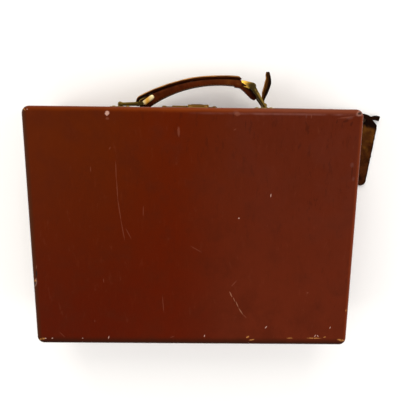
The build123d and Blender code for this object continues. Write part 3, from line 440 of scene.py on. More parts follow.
# Wear on the lid's top, in millimetres: x, y, turn in degrees, length, width
wear = {
    "pale": (
        (94.9, -135.2, 60, 5.6, 4.6), (182.4, -138.4, 0, 1.4, 1.1), (102.1, 133.6, 74, 4.6, 1.0),
        (134.0, 134.9, 0, 1.8, 1.0), (179.2, 135.4, 0, 2.4, 1.3), (171.0, 135.2, 20, 2.2, 1.2),
        (-15.1, 130.8, 80, 3.4, 1.3), (-90.3, 118.7, 51, 3.8, 1.1), (-168.8, 118.8, 70, 3.0, 1.1),
        (-151.0, 129.8, 60, 3.6, 1.1), (-154.4, 130.0, 120, 3.4, 1.1), (-89.6, -44.8, 85, 4.4, 1.0),
        (-53.6, -17.6, 0, 1.7, 1.5),
    ),
    "scratch": (
        (-46.3, 76.4, 115, 8.2, 1.5), (-58.6, 97.8, 122, 9.6, 1.3), (-54.2, 89.3, 113, 9.0, 1.1),
        (-50.4, 83.0, 114, 7.0, 0.9),
    ),
    "faint": (
        (-49.7, 62.6, 50, 11.0, 1.1), (-63.8, 104.5, 134, 7.5, 1.0), (87.0, -71.0, 90, 24.0, 1.0),
        (86.3, -50.0, 92, 26.0, 1.1), (84.5, -26.5, 97, 30.0, 1.1), (81.2, -2.0, 99, 28.0, 1.0),
        (74.6, 2.0, 116, 15.0, 0.9), (94.8, -129.4, 0, 4.0, 3.0), (93.1, -96.9, 60, 4.0, 1.1),
        (115.6, -72.9, 90, 6.0, 1.0), (57.0, -25.0, 88, 13.0, 0.9), (105.7, 60.0, 92, 6.0, 1.0),
        (118.2, 112.1, 85, 3.2, 1.2), (158.7, 130.4, 132, 10.0, 0.9), (35.2, 89.4, 94, 22.0, 0.9),
        (24.4, 132.4, 20, 6.0, 1.1), (-138.5, 73.6, 30, 3.0, 1.8), (16.0, -116.0, 92, 12.0, 3.0),
        (-46.6, -118.9, 30, 4.0, 1.0), (-131.0, -134.0, 90, 4.6, 1.1), (-49.0, -135.8, 0, 7.0, 4.4),
        (-170.0, -133.6, 8, 18.0, 1.6), (184.3, 43.9, 80, 5.0, 1.2), (-4.0, 20.0, 150, 16.0, 0.9),
    ),
    "raw": (
        (183.4, 136.2, 12, 9.0, 2.6), (-68.1, 131.8, 35, 4.6, 2.6), (-73.2, 135.6, 10, 7.0, 1.9),
        (-119.9, 133.0, 0, 8.0, 1.4), (-150.0, 132.8, 0, 19.0, 1.7), (-162.8, 131.4, 20, 4.0, 1.4),
        (-183.6, 135.4, -12, 11.0, 3.0), (186.8, 61.2, 80, 4.2, 2.2), (-186.7, 95.8, 90, 4.0, 1.2),
        (187.0, -139.6, -45, 8.0, 1.4),
    ),
    "stain": (
        (-159.8, -128.5, 80, 5.0, 1.4), (-169.8, -129.7, 20, 7.0, 3.4), (-176.2, -126.5, 70, 6.0, 3.0),
        (-58.4, -125.1, 88, 9.0, 1.0), (-180.9, -72.9, 90, 16.0, 1.4),
    ),
    "bloom": (
        (-180.3, -80.8, 85, 6.4, 4.2), (-183.1, -64.9, 85, 5.0, 3.0), (-174.0, -133.0, 10, 8.0, 3.0),
        (-125.4, -134.2, 85, 4.6, 1.6), (-47.3, -138.0, 0, 6.0, 4.0),
    ),
    "ring": (
        (-184.5, -138.0, 20, 8.6, 6.6), (186.6, 63.0, 80, 11.0, 3.4),
    ),
    "dark": (
        (-184.5, -138.0, 20, 4.6, 3.4), (187.6, 63.4, 80, 8.0, 3.4), (185.0, 52.0, 85, 9.0, 1.6),
    ),
}


def gatherMarks(tree, place, ragged, marks):  # one mask for a list of marks
    total = None
    for x, y, turn, length, width in marks:
        mask = useGroup(tree, markGroup, {
            "Vector": place, "Ragged": ragged, "Place": (x * mm, y * mm, lidHeight),
            "Turn": (0, 0, math.radians(turn)), "Size": (length / 2 * mm, width / 2 * mm, 14 * mm)})[0]
        total = reckon(tree, "MAXIMUM", total, mask) if total else mask
    return total


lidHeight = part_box("lid_leather")[1].z

# Kinds of mark in the order they are laid: how much each shows, and its colour
markTints = {
    "faint": (0.17, (0.36, 0.13, 0.08)),
    "scratch": (0.45, (0.38, 0.17, 0.10)),
    "stain": (0.50, (0.026, 0.0035, 0.0020)),
    "bloom": (0.10, (0.23, 0.13, 0.115)),
    "ring": (0.34, (0.40, 0.22, 0.17)),
    "dark": (0.85, (0.012, 0.009, 0.008)),
    "raw": (0.78, (0.44, 0.19, 0.05)),
    "pale": (0.62, (0.66, 0.40, 0.32)),
}

# Tints of the case's leather, and the places that some of them keep to, in metres
hide = {
    "brown": (0.077, 0.0088, 0.0006),
    "red": (0.082, 0.0048, 0.0002),
    "redX": 0.02,
    # painted sheen: plum towards one side, and a brighter plum at the back on that side
    "plumSheen": (0.078, 0.0098, 0.0036),
    "deep": (0.067, 0.0034, 0.0001),
    "backPlumSheen": (0.092, 0.0110, 0.0034),
    "hairShade": (0.030, 0.0040, 0.0020),
    "dust": (0.110, 0.022, 0.013),
    # painted highlight along a crease near the front, and the line it keeps to
    "crease": (0.22, 0.085, 0.070),
    "creaseHighlightY": -0.1364,
    "scuff": (0.27, 0.10, 0.03),
    "seamZ": 0.0702,
}


def tintHide(tree, place, parts, tone, mottle, broad):
    # browner towards one front corner, a painted plum sheen towards the other side, deeper red towards the back
    streaks = cloud(tree, place, 60.0, 4.0, 0.6, (5.0, 0.7, 1.0))
    towardsBack = spread(tree, reckon(tree, "MULTIPLY_ADD", broad, 0.06, parts["Y"]), -0.11, 0.15)
    towardsSheen = spread(tree, reckon(tree, "MULTIPLY_ADD", broad, 0.06, parts["X"]), 0.06, -0.06)
    colour = blendColours(tree, towardsBack, hide["brown"], hide["deep"])
    aside = reckon(tree, "ABSOLUTE", reckon(tree, "SUBTRACT", parts["X"], hide["redX"]))
    middle = spread(tree, aside, 0.09, 0.0)
    colour = blendColours(tree, reckon(tree, "MULTIPLY", middle, 0.6), colour, hide["red"])
    # painted plum sheen towards one side, brighter towards the back on that side
    colour = blendColours(tree, reckon(tree, "MULTIPLY", towardsSheen, 0.9), colour, hide["plumSheen"])
    colour = blendColours(tree, reckon(tree, "MULTIPLY", towardsBack, towardsSheen), colour, hide["backPlumSheen"])
    patchy = cloud(tree, place, 22.0, 6.0, 0.68)
    slanted = addNode(tree, "ShaderNodeMapping", {
        "Vector": place, "Rotation": (0, 0, 0.9), "Scale": (3.2, 1.0, 1.0)}).outputs[0]
    hairs = cloud(tree, slanted, 55.0, 5.0, 0.7)
    # pattern, from, to, amount, tint
    layers = (
        (mottle, 0.35, 0.75, 0.30, (0.050, 0.0042, 0.0005)),
        (streaks, 0.56, 0.74, 0.12, (0.14, 0.026, 0.009)),
        (tone, 0.50, 0.80, 0.12, (0.11, 0.012, 0.001)),
        (patchy, 0.50, 0.66, 0.30, (0.056, 0.0060, 0.0018)),
        (hairs, 0.60, 0.72, 0.13, (0.19, 0.050, 0.026)),
    )
    for pattern, low, high, amount, tint in layers:
        colour = blendColours(tree, spread(tree, pattern, low, high, 0.0, amount), colour, tint)
    towardsCorner = spread(tree, reckon(tree, "ADD", parts["X"], parts["Y"]), 0.02, -0.24)
    shaded = blendColours(tree, spread(tree, hairs, 0.44, 0.34), colour, hide["hairShade"])
    colour = blendColours(tree, reckon(tree, "MULTIPLY_ADD", towardsCorner, 0.34, 0.10), colour, shaded)
    dusty = reckon(tree, "MULTIPLY", towardsCorner, spread(tree, patchy, 0.42, 0.60, 0.0, 0.16))
    return blendColours(tree, dusty, colour, hide["dust"])


def tintEdgesWithPaintedLight(tree, colour, parts, mottle, broad):
    # the lid's edges: rubbed orange wear with a painted highlight along the front, a redder painted highlight on
    # one side, painted shade dull on the other, painted shade dark behind
    onTop = spread(tree, parts["Z"], lidHeight - 0.010, lidHeight - 0.004)
    uneven = reckon(tree, "MULTIPLY_ADD", mottle, 0.003, parts["Y"])
    sideways = spread(tree, reckon(tree, "MULTIPLY_ADD", broad, 0.08, parts["X"]), 0.19, 0.01)
    front = blendColours(tree, sideways, (0.118, 0.0155, 0.0006), (0.160, 0.0245, 0.0026))
    front = blendColours(tree, spread(tree, parts["X"], 0.0, -0.12), front, (0.150, 0.034, 0.016))
    # measure, from, to, amount, tint
    bands = (
        # front: rubbed orange wear with a painted highlight; then a painted highlight and its lighter edge line on
        # one side; painted shade on the other side and behind
        (uneven, -0.1345, -0.1385, 0.95, front),
        (parts["X"], -0.1848, -0.1878, 0.8, (0.14, 0.019, 0.003)),
        (parts["X"], -0.1879, -0.1892, 0.5, (0.26, 0.085, 0.05)),
        (parts["X"], 0.1825, 0.1865, 0.8, (0.042, 0.010, 0.0035)),
        (uneven, 0.1325, 0.1420, 0.92, (0.016, 0.0035, 0.0015)),
    )
    for measure, low, high, amount, tint in bands:
        share = reckon(tree, "MULTIPLY", spread(tree, measure, low, high, 0.0, amount), onTop)
        colour = blendColours(tree, share, colour, tint)
    # a broken painted highlight along a crease on part of the front
    crease = reckon(tree, "ABSOLUTE", reckon(tree, "SUBTRACT", parts["Y"], hide["creaseHighlightY"]))
    crease = reckon(tree, "MULTIPLY", spread(tree, crease, 0.0019, 0.0002), onTop)
    crease = reckon(tree, "MULTIPLY", crease, spread(tree, mottle, 0.34, 0.62))
    crease = reckon(tree, "MULTIPLY", crease, spread(tree, parts["X"], 0.03, -0.07, 0.0, 0.36))
    return blendColours(tree, crease, colour, hide["crease"])


def tintScuffs(tree, colour, height, mottle):  # at the foot of the walls and where lid and base meet
    foot = spread(tree, height, 0.0045, 0.0005)
    apart = reckon(tree, "ABSOLUTE", reckon(tree, "SUBTRACT", height, hide["seamZ"]))
    seam = spread(tree, apart, 0.0022, 0.0006)
    rims = reckon(tree, "MAXIMUM", foot, reckon(tree, "MULTIPLY", seam, 0.7))
    scuffs = spread(tree, reckon(tree, "MULTIPLY_ADD", rims, 0.22, mottle), 0.66, 0.74, 0.0, 0.6)
    return blendColours(tree, reckon(tree, "MULTIPLY", scuffs, rims), colour, hide["scuff"])


def makeCaseLeather():
    material, tree, shader, place = startMaterial("caseLeather", (0.09, 0.012, 0.004))
    grain = useGroup(tree, leatherGrain, {"Vector": place, "Cells": 1100.0, "Creases": 60.0})
    parts = addNode(tree, "ShaderNodeSeparateXYZ", {0: place}).outputs
    broad = cloud(tree, place, 7.0, 2.0, 0.5)
    mottle = cloud(tree, place, 45.0, 5.0, 0.6)
    colour = tintHide(tree, place, parts, grain["Tone"], mottle, broad)
    colour = tintEdgesWithPaintedLight(tree, colour, parts, mottle, broad)
    colour = tintScuffs(tree, colour, parts["Z"], mottle)
    ragged = cloud(tree, place, 700.0, 3.0, 0.6)
    masks = {kind: gatherMarks(tree, place, ragged, marks) for kind, marks in wear.items()}
    masks["raw"] = reckon(tree, "MULTIPLY", masks["raw"], spread(tree, ragged, 0.38, 0.52))
    for kind, (amount, tint) in markTints.items():
        colour = blendColours(tree, reckon(tree, "MULTIPLY", masks[kind], amount), colour, tint)
    chips = reckon(tree, "MAXIMUM", masks["pale"], reckon(tree, "MULTIPLY", masks["raw"], 0.7))
    height = reckon(tree, "SUBTRACT", grain["Height"], chips)
    setSockets(tree, shader, {
        "Base Color": colour,
        "Normal": addBump(tree, height, 0.00006, 0.5),
        "Roughness": spread(tree, mottle, 0.3, 0.75, 0.36, 0.48),
        "Specular IOR Level": 0.13,
        "Specular Tint": (1.0, 0.45, 0.18, 1),
    })
    return material


def makeLeather(name, light, dark, cells, rough, rubbedAndLit=(0.24, 0.10, 0.03), shine=0.1):
    material, tree, shader, place = startMaterial(name, light)
    grain = useGroup(tree, leatherGrain, {"Vector": place, "Cells": cells, "Creases": cells / 6})
    mottle = cloud(tree, place, 130.0, 5.0, 0.6)
    colour = blendColours(tree, spread(tree, mottle, 0.32, 0.68), light, dark)
    colour = blendColours(tree, spread(tree, grain["Height"], 0.5, 0.1, 0.0, 0.4), colour, dark)
    # the rub number carries rubbed wear and painted highlights; the grime number carries dirt and painted shade
    rubAndHighlight = readWearAndLight(tree, "rubAndHighlight")
    grimeAndShade = readWearAndLight(tree, "grimeAndShade")
    broken = spread(tree, reckon(tree, "MULTIPLY_ADD", rubAndHighlight, 0.5, mottle), 0.55, 0.95)
    strong = reckon(tree, "MINIMUM", reckon(tree, "MULTIPLY", rubAndHighlight, 3.0), 1.0)
    colour = blendColours(tree, reckon(tree, "MULTIPLY", broken, strong), colour, rubbedAndLit)
    dirtAndShade = reckon(tree, "MULTIPLY", grimeAndShade, spread(tree, mottle, 0.2, 0.5, 0.8, 1.0))
    colour = blendColours(tree, dirtAndShade, colour, (0.006, 0.002, 0.0012))
    setSockets(tree, shader, {
        "Base Color": colour,
        "Normal": addBump(tree, grain["Height"], 0.00012, 0.7),
        "Roughness": spread(tree, mottle, 0.3, 0.7, rough - 0.08, rough + 0.1),
        "Specular IOR Level": shine,
        "Specular Tint": (1.0, 0.5, 0.24, 1),
    })
    return material


def makeBrass(name, clean, tarnish, amount, rough, metal=1.0, grimeAndShadeTint=(0.06, 0.038, 0.010), face=None):
    material, tree, shader, place = startMaterial(name, clean)
    patches = cloud(tree, place, 140.0, 6.0, 0.65)
    fine = cloud(tree, place, 900.0, 4.0, 0.6)
    edges = addNode(tree, "ShaderNodeNewGeometry").outputs["Pointiness"]
    worn = spread(tree, edges, 0.505, 0.56)
    dull = reckon(tree, "SUBTRACT", spread(tree, patches, 0.62 - amount, 0.78 - amount), worn, clamp=True)
    colour = blendColours(tree, dull, clean, tarnish)
    colour = blendColours(tree, spread(tree, fine, 0.55, 0.75, 0.0, 0.3), colour, tarnish)
    # the grime number darkens the brass with soot and painted shade; on the saddle its tint is the yellow middle
    # between painted highlights
    colour = blendColours(tree, readWearAndLight(tree, "grimeAndShade"), colour, grimeAndShadeTint)
    if face:  # darker on what stands furthest out
        depth = addNode(tree, "ShaderNodeSeparateXYZ", {"Vector": place}).outputs["Y"]
        colour = blendColours(tree, spread(tree, depth, face, face - 0.0016), colour, (0.10, 0.044, 0.006))
    setSockets(tree, shader, {
        "Base Color": colour,
        "Metallic": metal,
        "Normal": addBump(tree, fine, 0.00004, 0.4),
        "Roughness": reckon(tree, "MULTIPLY_ADD", dull, 0.25, rough),
    })
    return material


def makeThread():
    material, tree, shader, place = startMaterial("thread", (0.16, 0.09, 0.04))
    strands = cloud(tree, place, 2500.0, 2.0, 0.5)
    setSockets(tree, shader, {
        "Base Color": blendColours(tree, strands, (0.05, 0.018, 0.006), (0.14, 0.06, 0.02)),
        "Normal": addBump(tree, strands, 0.0001, 0.5),
        "Roughness": 0.75,
        "Specular IOR Level": 0.2,
    })
    return material


def makeCloth():
    material, tree, shader, place = startMaterial("liningCloth", (0.22, 0.06, 0.045))
    ribs = addNode(tree, "ShaderNodeTexWave", {
        "Vector": place, "Scale": 420.0, "Distortion": 0.4}, bands_direction="DIAGONAL").outputs[1]
    watered = cloud(tree, place, 35.0, 4.0, 0.55, (1.0, 4.0, 1.0))
    light, dark = (0.22, 0.060, 0.044), (0.175, 0.043, 0.034)
    colour = blendColours(tree, spread(tree, watered, 0.35, 0.65), light, dark)
    colour = blendColours(tree, reckon(tree, "MULTIPLY", ribs, 0.25), colour, (0.30, 0.10, 0.07))
    setSockets(tree, shader, {
        "Base Color": colour,
        "Normal": addBump(tree, ribs, 0.00015, 0.7),
        "Roughness": spread(tree, watered, 0.3, 0.7, 0.45, 0.7),
        "Sheen Weight": 0.3,
        "Sheen Roughness": 0.4,
    })
    return material


def makeWood():
    material, tree, shader, place = startMaterial("wood", (0.42, 0.26, 0.13))
    rings = cloud(tree, place, 60.0, 6.0, 0.6, (0.15, 1.0, 1.0))
    pores = cloud(tree, place, 900.0, 2.0, 0.5, (0.06, 1.0, 1.0))
    colour = blendColours(tree, spread(tree, rings, 0.35, 0.65), (0.42, 0.25, 0.12), (0.27, 0.14, 0.06))
    colour = blendColours(tree, spread(tree, pores, 0.55, 0.7, 0.0, 0.5), colour, (0.14, 0.07, 0.03))
    setSockets(tree, shader, {
        "Base Color": colour, "Normal": addBump(tree, pores, 0.0001, 0.4), "Roughness": 0.5})
    return material


def makeCard():
    material, tree, shader, place = startMaterial("card", (0.7, 0.62, 0.45))
    stain = cloud(tree, place, 90.0, 5.0, 0.6)
    colour = blendColours(tree, spread(tree, stain, 0.4, 0.7), (0.72, 0.64, 0.47), (0.5, 0.4, 0.25))
    setSockets(tree, shader, {"Base Color": colour, "Roughness": 0.85})
    return material


caseLeather = makeCaseLeather()
handleLeather = makeLeather(
    "handleLeather", (0.080, 0.0125, 0.0020), (0.036, 0.0042, 0.0006), 1000.0, 0.42, (0.115, 0.028, 0.004))
handleRim = makeLeather(
    "handleRim", (0.046, 0.0075, 0.0011), (0.020, 0.0028, 0.0005), 1000.0, 0.42, (0.44, 0.20, 0.05), 0.07)
strapLeather = makeLeather(
    "strapLeather", (0.075, 0.026, 0.004), (0.034, 0.011, 0.0016), 900.0, 0.7, (0.30, 0.13, 0.03), 0.02)
labelLeather = makeLeather(
    "labelLeather", (0.074, 0.0195, 0.0042), (0.022, 0.0055, 0.0012), 900.0, 0.7, (0.12, 0.042, 0.006), 0.03)
loopLeather = makeLeather("loopLeather", (0.20, 0.055, 0.02), (0.12, 0.03, 0.012), 1200.0, 0.45)
agedBrass = makeBrass("agedBrass", (0.34, 0.22, 0.045), (0.10, 0.062, 0.014), 0.16, 0.34)
dullBrass = makeBrass("dullBrass", (0.34, 0.185, 0.028), (0.17, 0.085, 0.013), 0.08, 0.45, 0.9, face=-0.1431)
# lock pieces darkened, partly as painted shade along the lock plate
lockBrass = makeBrass("lockBrass", (0.19, 0.095, 0.016), (0.08, 0.036, 0.006), 0.1, 0.45, 0.85, face=-0.1442)
warmBrass = makeBrass("warmBrass", (0.72, 0.40, 0.055), (0.40, 0.20, 0.03), -0.08, 0.36)
# pale cream stands in for painted highlights on the saddle's ends
paintedHighlightBrass = makeBrass(
    "paintedHighlightBrass", (0.95, 0.80, 0.42), (0.80, 0.56, 0.20), -0.10, 0.22, 0.3, (0.80, 0.42, 0.05))
oliveBrass = makeBrass("oliveBrass", (0.21, 0.135, 0.022), (0.06, 0.036, 0.007), 0.12, 0.42)
blackMetal = makeBrass("blackMetal", (0.030, 0.018, 0.010), (0.015, 0.010, 0.006), 0.1, 0.5)
thread = makeThread()
liningCloth = makeCloth()
wood = makeWood()
cardPaper = makeCard()
print("materials made")


# Camera, floor and lights
photo = {
    "place": (-12.39, -134.69, 604.64),
    "right": (-0.9999, -0.0115, 0.0080),
    "up": (0.0096, -0.9789, -0.2042),
    "focalPixels": 447.2,
    "imagePixels": 416.0,
    "sensor": 36.0,
}


def setUpCamera():
    data = bpy.data.cameras.new("photoCamera")
    camera = bpy.data.objects.new("photoCamera", data)
    bpy.context.scene.collection.objects.link(camera)
    right = Vector(photo["right"]).normalized()
    up = Vector(photo["up"])
    up = (up - right * up.dot(right)).normalized()
    turn = Matrix((right, up, right.cross(up))).transposed()
    camera.matrix_world = Matrix.Translation(Vector(photo["place"]) * mm) @ turn.to_4x4()
    data.sensor_width = photo["sensor"]
    data.lens = photo["focalPixels"] * photo["sensor"] / photo["imagePixels"]
    bpy.context.scene.camera = camera


studio = {
    "floorSize": 12.0,
    "floorColour": (0.96, 0.96, 0.955),
    "world": (1.0, 0.97, 0.93),
    "worldStrength": 0.6,
    # name: place, size, power, colour
    "lights": {
        "frontSoftbox": ((0.1, -1.7, 1.3), 1.5, 26.0, (1.0, 0.96, 0.90)),
        "rightSoftbox": ((-1.6, 0.1, 1.3), 1.3, 12.0, (0.98, 0.97, 1.0)),
        "leftSoftbox": ((1.6, 0.1, 1.3), 1.3, 13.0, (1.0, 0.97, 0.93)),
        "backSoftbox": ((0.0, 1.8, 1.3), 1.3, 6.0, (1.0, 1.0, 1.0)),
    },
}


def setUpStudio():
    clearSelection()
    bpy.ops.mesh.primitive_plane_add(size=studio["floorSize"], location=(0, 0, 0))
    floor = bpy.context.object
    floor.name = "floor"
    material = bpy.data.materials.new("floor")
    material.use_nodes = True
    shader = material.node_tree.nodes["Principled BSDF"]
    shader.inputs["Base Color"].default_value = (*studio["floorColour"], 1)
    shader.inputs["Roughness"].default_value = 0.9
    shader.inputs["Specular IOR Level"].default_value = 0.1
    floor.data.materials.append(material)
    world = bpy.data.worlds.new("studio")
    world.use_nodes = True
    background = world.node_tree.nodes["Background"]
    background.inputs["Color"].default_value = (*studio["world"], 1)
    background.inputs["Strength"].default_value = studio["worldStrength"]
    bpy.context.scene.world = world
    for name, (place, size, power, colour) in studio["lights"].items():
        data = bpy.data.lights.new(name, "AREA")
        data.shape = "SQUARE"
        data.size = size
        data.energy = power
        data.color = colour
        light = bpy.data.objects.new(name, data)
        bpy.context.scene.collection.objects.link(light)
        light.location = place
        light.rotation_euler = (-Vector(place)).to_track_quat("-Z", "Y").to_euler()
    bpy.context.scene.view_settings.view_transform = "Standard"


setUpCamera()
setUpStudio()
print("camera and studio set")


# Finishes of the metal and wood pieces that stay as they are
slotFinishes = {"wood": wood, "card": cardPaper}
nodeFinishes = {"label_stud": blackMetal}
for name in ("hasp", "hasp_plate", "hasp_rivets", "lock_button", "lock_plate", "lock_rivets"):
    nodeFinishes[name] = lockBrass if name.startswith("lock") else dullBrass
for part in frame["record"]["subparts"]:
    node = nodes[part["node"]]
    node.data.materials.clear()
    finish = slotFinishes.get(part["material_slot"], agedBrass)
    node.data.materials.append(nodeFinishes.get(part["node"], finish))


# The case's leather
case = {
    "corner": 8.5 * mm,
    "topEdge": 4.0 * mm,
    "bottomEdge": 1.2 * mm,
    "rimEdge": 1.0 * mm,
    "leather": 1.5 * mm,
    "lidRim": 6.0 * mm,
    "baseRim": 7.2 * mm,
    "longEdge": 20.0 * mm,
    "pocketRoom": (0.2 * mm, 0.2 * mm, 0.05 * mm),
    "grid": 9.0 * mm,
    "sag": 0.25 * mm,
    "sideWave": 0.12 * mm,
}
lidLow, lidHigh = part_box("lid_leather")
wallLow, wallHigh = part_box("base_wall_leather")
bottomLow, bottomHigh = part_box("base_bottom_leather")
across = Vector((1, 0, 0))
deepwards = Vector((0, 1, 0))
upwards = Vector((0, 0, 1))


def roundedBlock(low, high, edgeHeight, edgeRadius):
    block = addBlock(low, high)
    tall = (high.z - low.z) * 0.9
    bevelEdges(block, case["corner"], 8, lambda a, b: abs(a.z - b.z) > tall)
    if edgeRadius:
        bevelEdges(block, edgeRadius, 6, lambda a, b: near(a.z, edgeHeight) and near(b.z, edgeHeight))
    return block


def openRim(block, height, width):  # turns the leather over a rim and opens the middle
    pick(block, "FACE", lambda centre, normal: near(centre.z, height) and abs(normal.z) > 0.9)
    bpy.ops.mesh.inset(thickness=width, depth=0)
    bpy.ops.mesh.delete(type="FACE")
    done()
    outer = max(abs(vertex.co.x) for vertex in block.data.vertices)
    deep = max(abs(vertex.co.y) for vertex in block.data.vertices)

    def onRim(a, b):  # its outer edge, without the short edges that cross it
        middle = (a + b) / 2
        outside = abs(middle.x) > outer - width * 0.5 or abs(middle.y) > deep - width * 0.5
        inCorner = abs(middle.x) > outer - width and abs(middle.y) > deep - width
        lengthwise = (a - b).length > case["longEdge"] or inCorner
        return near(a.z, height) and near(b.z, height) and outside and lengthwise

    bevelEdges(block, case["rimEdge"], 3, onRim)


def waveLeather(piece, topHeight):  # the slight unevenness of hide glued over a board
    for vertex in piece.data.vertices:
        co = vertex.co
        slow = noise.noise(Vector((co.x * 9, co.y * 9, co.z * 9)))
        quick = noise.noise(Vector((co.x * 34 + 5, co.y * 34, co.z * 34)))
        wave = 0.5 + 0.35 * slow + 0.15 * quick
        if topHeight and abs(co.z - topHeight) < 1e-5:
            vertex.co.z -= case["sag"] * wave
        elif abs(vertex.normal.z) < 0.3:
            vertex.co -= vertex.normal * case["sideWave"] * wave


def cutPockets(piece, leaves):  # room in the rim for the hinge leaves
    room = Vector(case["pocketRoom"])
    for leaf in leaves:
        low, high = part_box(leaf)
        cutter = addBlock(low - room, high + room)
        applyModifier(piece, "BOOLEAN", operation="DIFFERENCE", object=cutter, solver="FAST")
        remove(cutter)


def makeLidSkin():
    skin = roundedBlock(lidLow, lidHigh, lidHigh.z, case["topEdge"])
    openRim(skin, lidLow.z, case["lidRim"])
    cutGrid(skin, case["grid"], [across, deepwards])
    waveLeather(skin, lidHigh.z)
    applyModifier(skin, "SOLIDIFY", thickness=case["leather"], offset=-1)
    cutPockets(skin, ["hinge_lid_leaf_left", "hinge_lid_leaf_right"])
    return finishPiece(skin, "lidLeather", "lid", caseLeather, ["lid_leather"])


def makeWallSkin():
    skin = roundedBlock(wallLow, wallHigh, 0, 0)
    openRim(skin, wallHigh.z, case["baseRim"])
    deleteFaces(skin, lambda centre, normal: normal.z < -0.9)
    cutGrid(skin, case["grid"] * 1.5, [across, deepwards, upwards])
    waveLeather(skin, None)
    applyModifier(skin, "SOLIDIFY", thickness=case["leather"], offset=-1)
    cutPockets(skin, ["hinge_base_leaf_left", "hinge_base_leaf_right"])
    return finishPiece(skin, "baseLeather", "base", caseLeather, ["base_wall_leather"])


def makeBottomSkin():
    skin = roundedBlock(bottomLow, bottomHigh, bottomLow.z, case["bottomEdge"])
    return finishPiece(skin, "bottomLeather", "base", caseLeather, ["base_bottom_leather"])


makeLidSkin()
makeWallSkin()
makeBottomSkin()
print("case leather made")


# Cloth linings
cloth = {
    "thickness": 0.8 * mm,
    "fold": 3.0 * mm,
    "pad": 0.45 * mm,
    "padEdge": 20.0 * mm,
    "grid": 12.0 * mm,
}


def makeLining(node, name, body, openTop):
    low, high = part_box(node)
    thick = cloth["thickness"]
    wall = Vector((thick,) * 3)
    inner = addBlock(low + wall, high - wall)
    top, bottom = high.z - thick, low.z + thick
    openHeight, closedHeight = (top, bottom) if openTop else (bottom, top)
    for vertex in inner.data.vertices:
        if near(vertex.co.z, openHeight):
            vertex.co.z = high.z if openTop else low.z
    deleteFaces(inner, lambda centre, normal: (normal.z > 0.9) == openTop and abs(normal.z) > 0.9)
    bevelEdges(inner, cloth["fold"], 4, lambda a, b: abs(a.z - b.z) > mm)
    cutGrid(inner, cloth["grid"], [across, deepwards])
    for vertex in inner.data.vertices:  # a thin pad under the cloth swells it between its edges
        co = vertex.co
        if near(co.z, closedHeight):
            edge = min(co.x - low.x, high.x - co.x, co.y - low.y, high.y - co.y) / cloth["padEdge"]
            wave = 0.8 + 0.4 * noise.noise(Vector((co.x * 25, co.y * 25, 3)))
            vertex.co.z += cloth["pad"] * clamp(edge) ** 0.5 * wave * (1 if openTop else -1)
    applyModifier(inner, "SOLIDIFY", thickness=thick * 0.98, offset=1)
    return finishPiece(inner, name, body, liningCloth, [node])


makeLining("base_lining", "baseLining", "base", True)
makeLining("lid_lining", "lidLining", "lid", False)
print("linings made")


# Leather loops inside
loops = {
    "leather": 1.5 * mm,
    "fill": 0.99,
    "baseHalf": 20.0 * mm,
    "baseReach": 19.6 * mm,
    "baseFoot": (0, 0.5, 0.9),
    "lidCount": 5,
    "lidPitch": 44.0 * mm,
    "lidHalf": 11.0 * mm,
    "lidBulge": 10.0 * mm,
    "lidFoot": (6.0 * mm, 2.0 * mm),
}


def bulgeRadius(half, bulge):  # of the middle of the leather
    return (half ** 2 + bulge ** 2) / (2 * bulge) - loops["leather"] / 2


def loopArc(centre, middle, radius, reach, count):
    angles = [reach * (2 * i / count - 1) for i in range(count + 1)]
    return [(centre + radius * math.sin(angle), middle - radius * math.cos(angle)) for angle in angles]


def makeBaseLoop(number):
    node = f"base_loop_{number}"
    low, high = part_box(node)
    thick = loops["leather"]
    wall = high.y - thick / 2
    radius = bulgeRadius(loops["baseHalf"], high.y - low.y)
    middle = low.y + radius + thick / 2
    bend = math.asin(min(loops["baseReach"] / radius, 1))
    reach = bend if middle > wall else math.pi - bend
    foot = (high.x - low.x) / 2 - loops["baseHalf"]
    points = [(low.x + foot * share, wall) for share in loops["baseFoot"]]
    points += loopArc((low.x + high.x) / 2, middle, radius, reach, 12)
    points += [(high.x - foot * share, wall) for share in reversed(loops["baseFoot"])]
    route = smoothRoute([(x, min(y, wall), (low.z + high.z) / 2) for x, y in points], 64)
    strip = layRibbon(route, upwards, lambda share: (high.z - low.z) * loops["fill"], thick)
    return finishPiece(strip, f"baseLoop{number}", "base", loopLeather, [node])


def makeLidLoops():
    low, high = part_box("lid_loops")
    thick, count, half = loops["leather"], loops["lidCount"], loops["lidHalf"]
    ceiling = high.z - thick / 2
    radius = bulgeRadius(half, loops["lidBulge"])
    middle = high.z - loops["lidBulge"] + radius + thick / 2
    reach = math.acos(clamp((middle - ceiling) / radius, -1))
    points = [(low.x, ceiling)]
    for number in range(count):
        centre = (number - (count - 1) / 2) * loops["lidPitch"]
        points += [(centre - half - foot, ceiling) for foot in loops["lidFoot"]]
        points += loopArc(centre, middle, radius, reach, 8)
        points += [(centre + half + foot, ceiling) for foot in reversed(loops["lidFoot"])]
    points.append((high.x, ceiling))
    route = smoothRoute([(x, (low.y + high.y) / 2, min(z, ceiling)) for x, z in points], 220)
    strip = layRibbon(route, deepwards, lambda share: (high.y - low.y) * loops["fill"], thick)
    return finishPiece(strip, "lidLoops", "lid", loopLeather, ["lid_loops"])


for number in range(1, 5):
    makeBaseLoop(number)
makeLidLoops()
print("loops made")


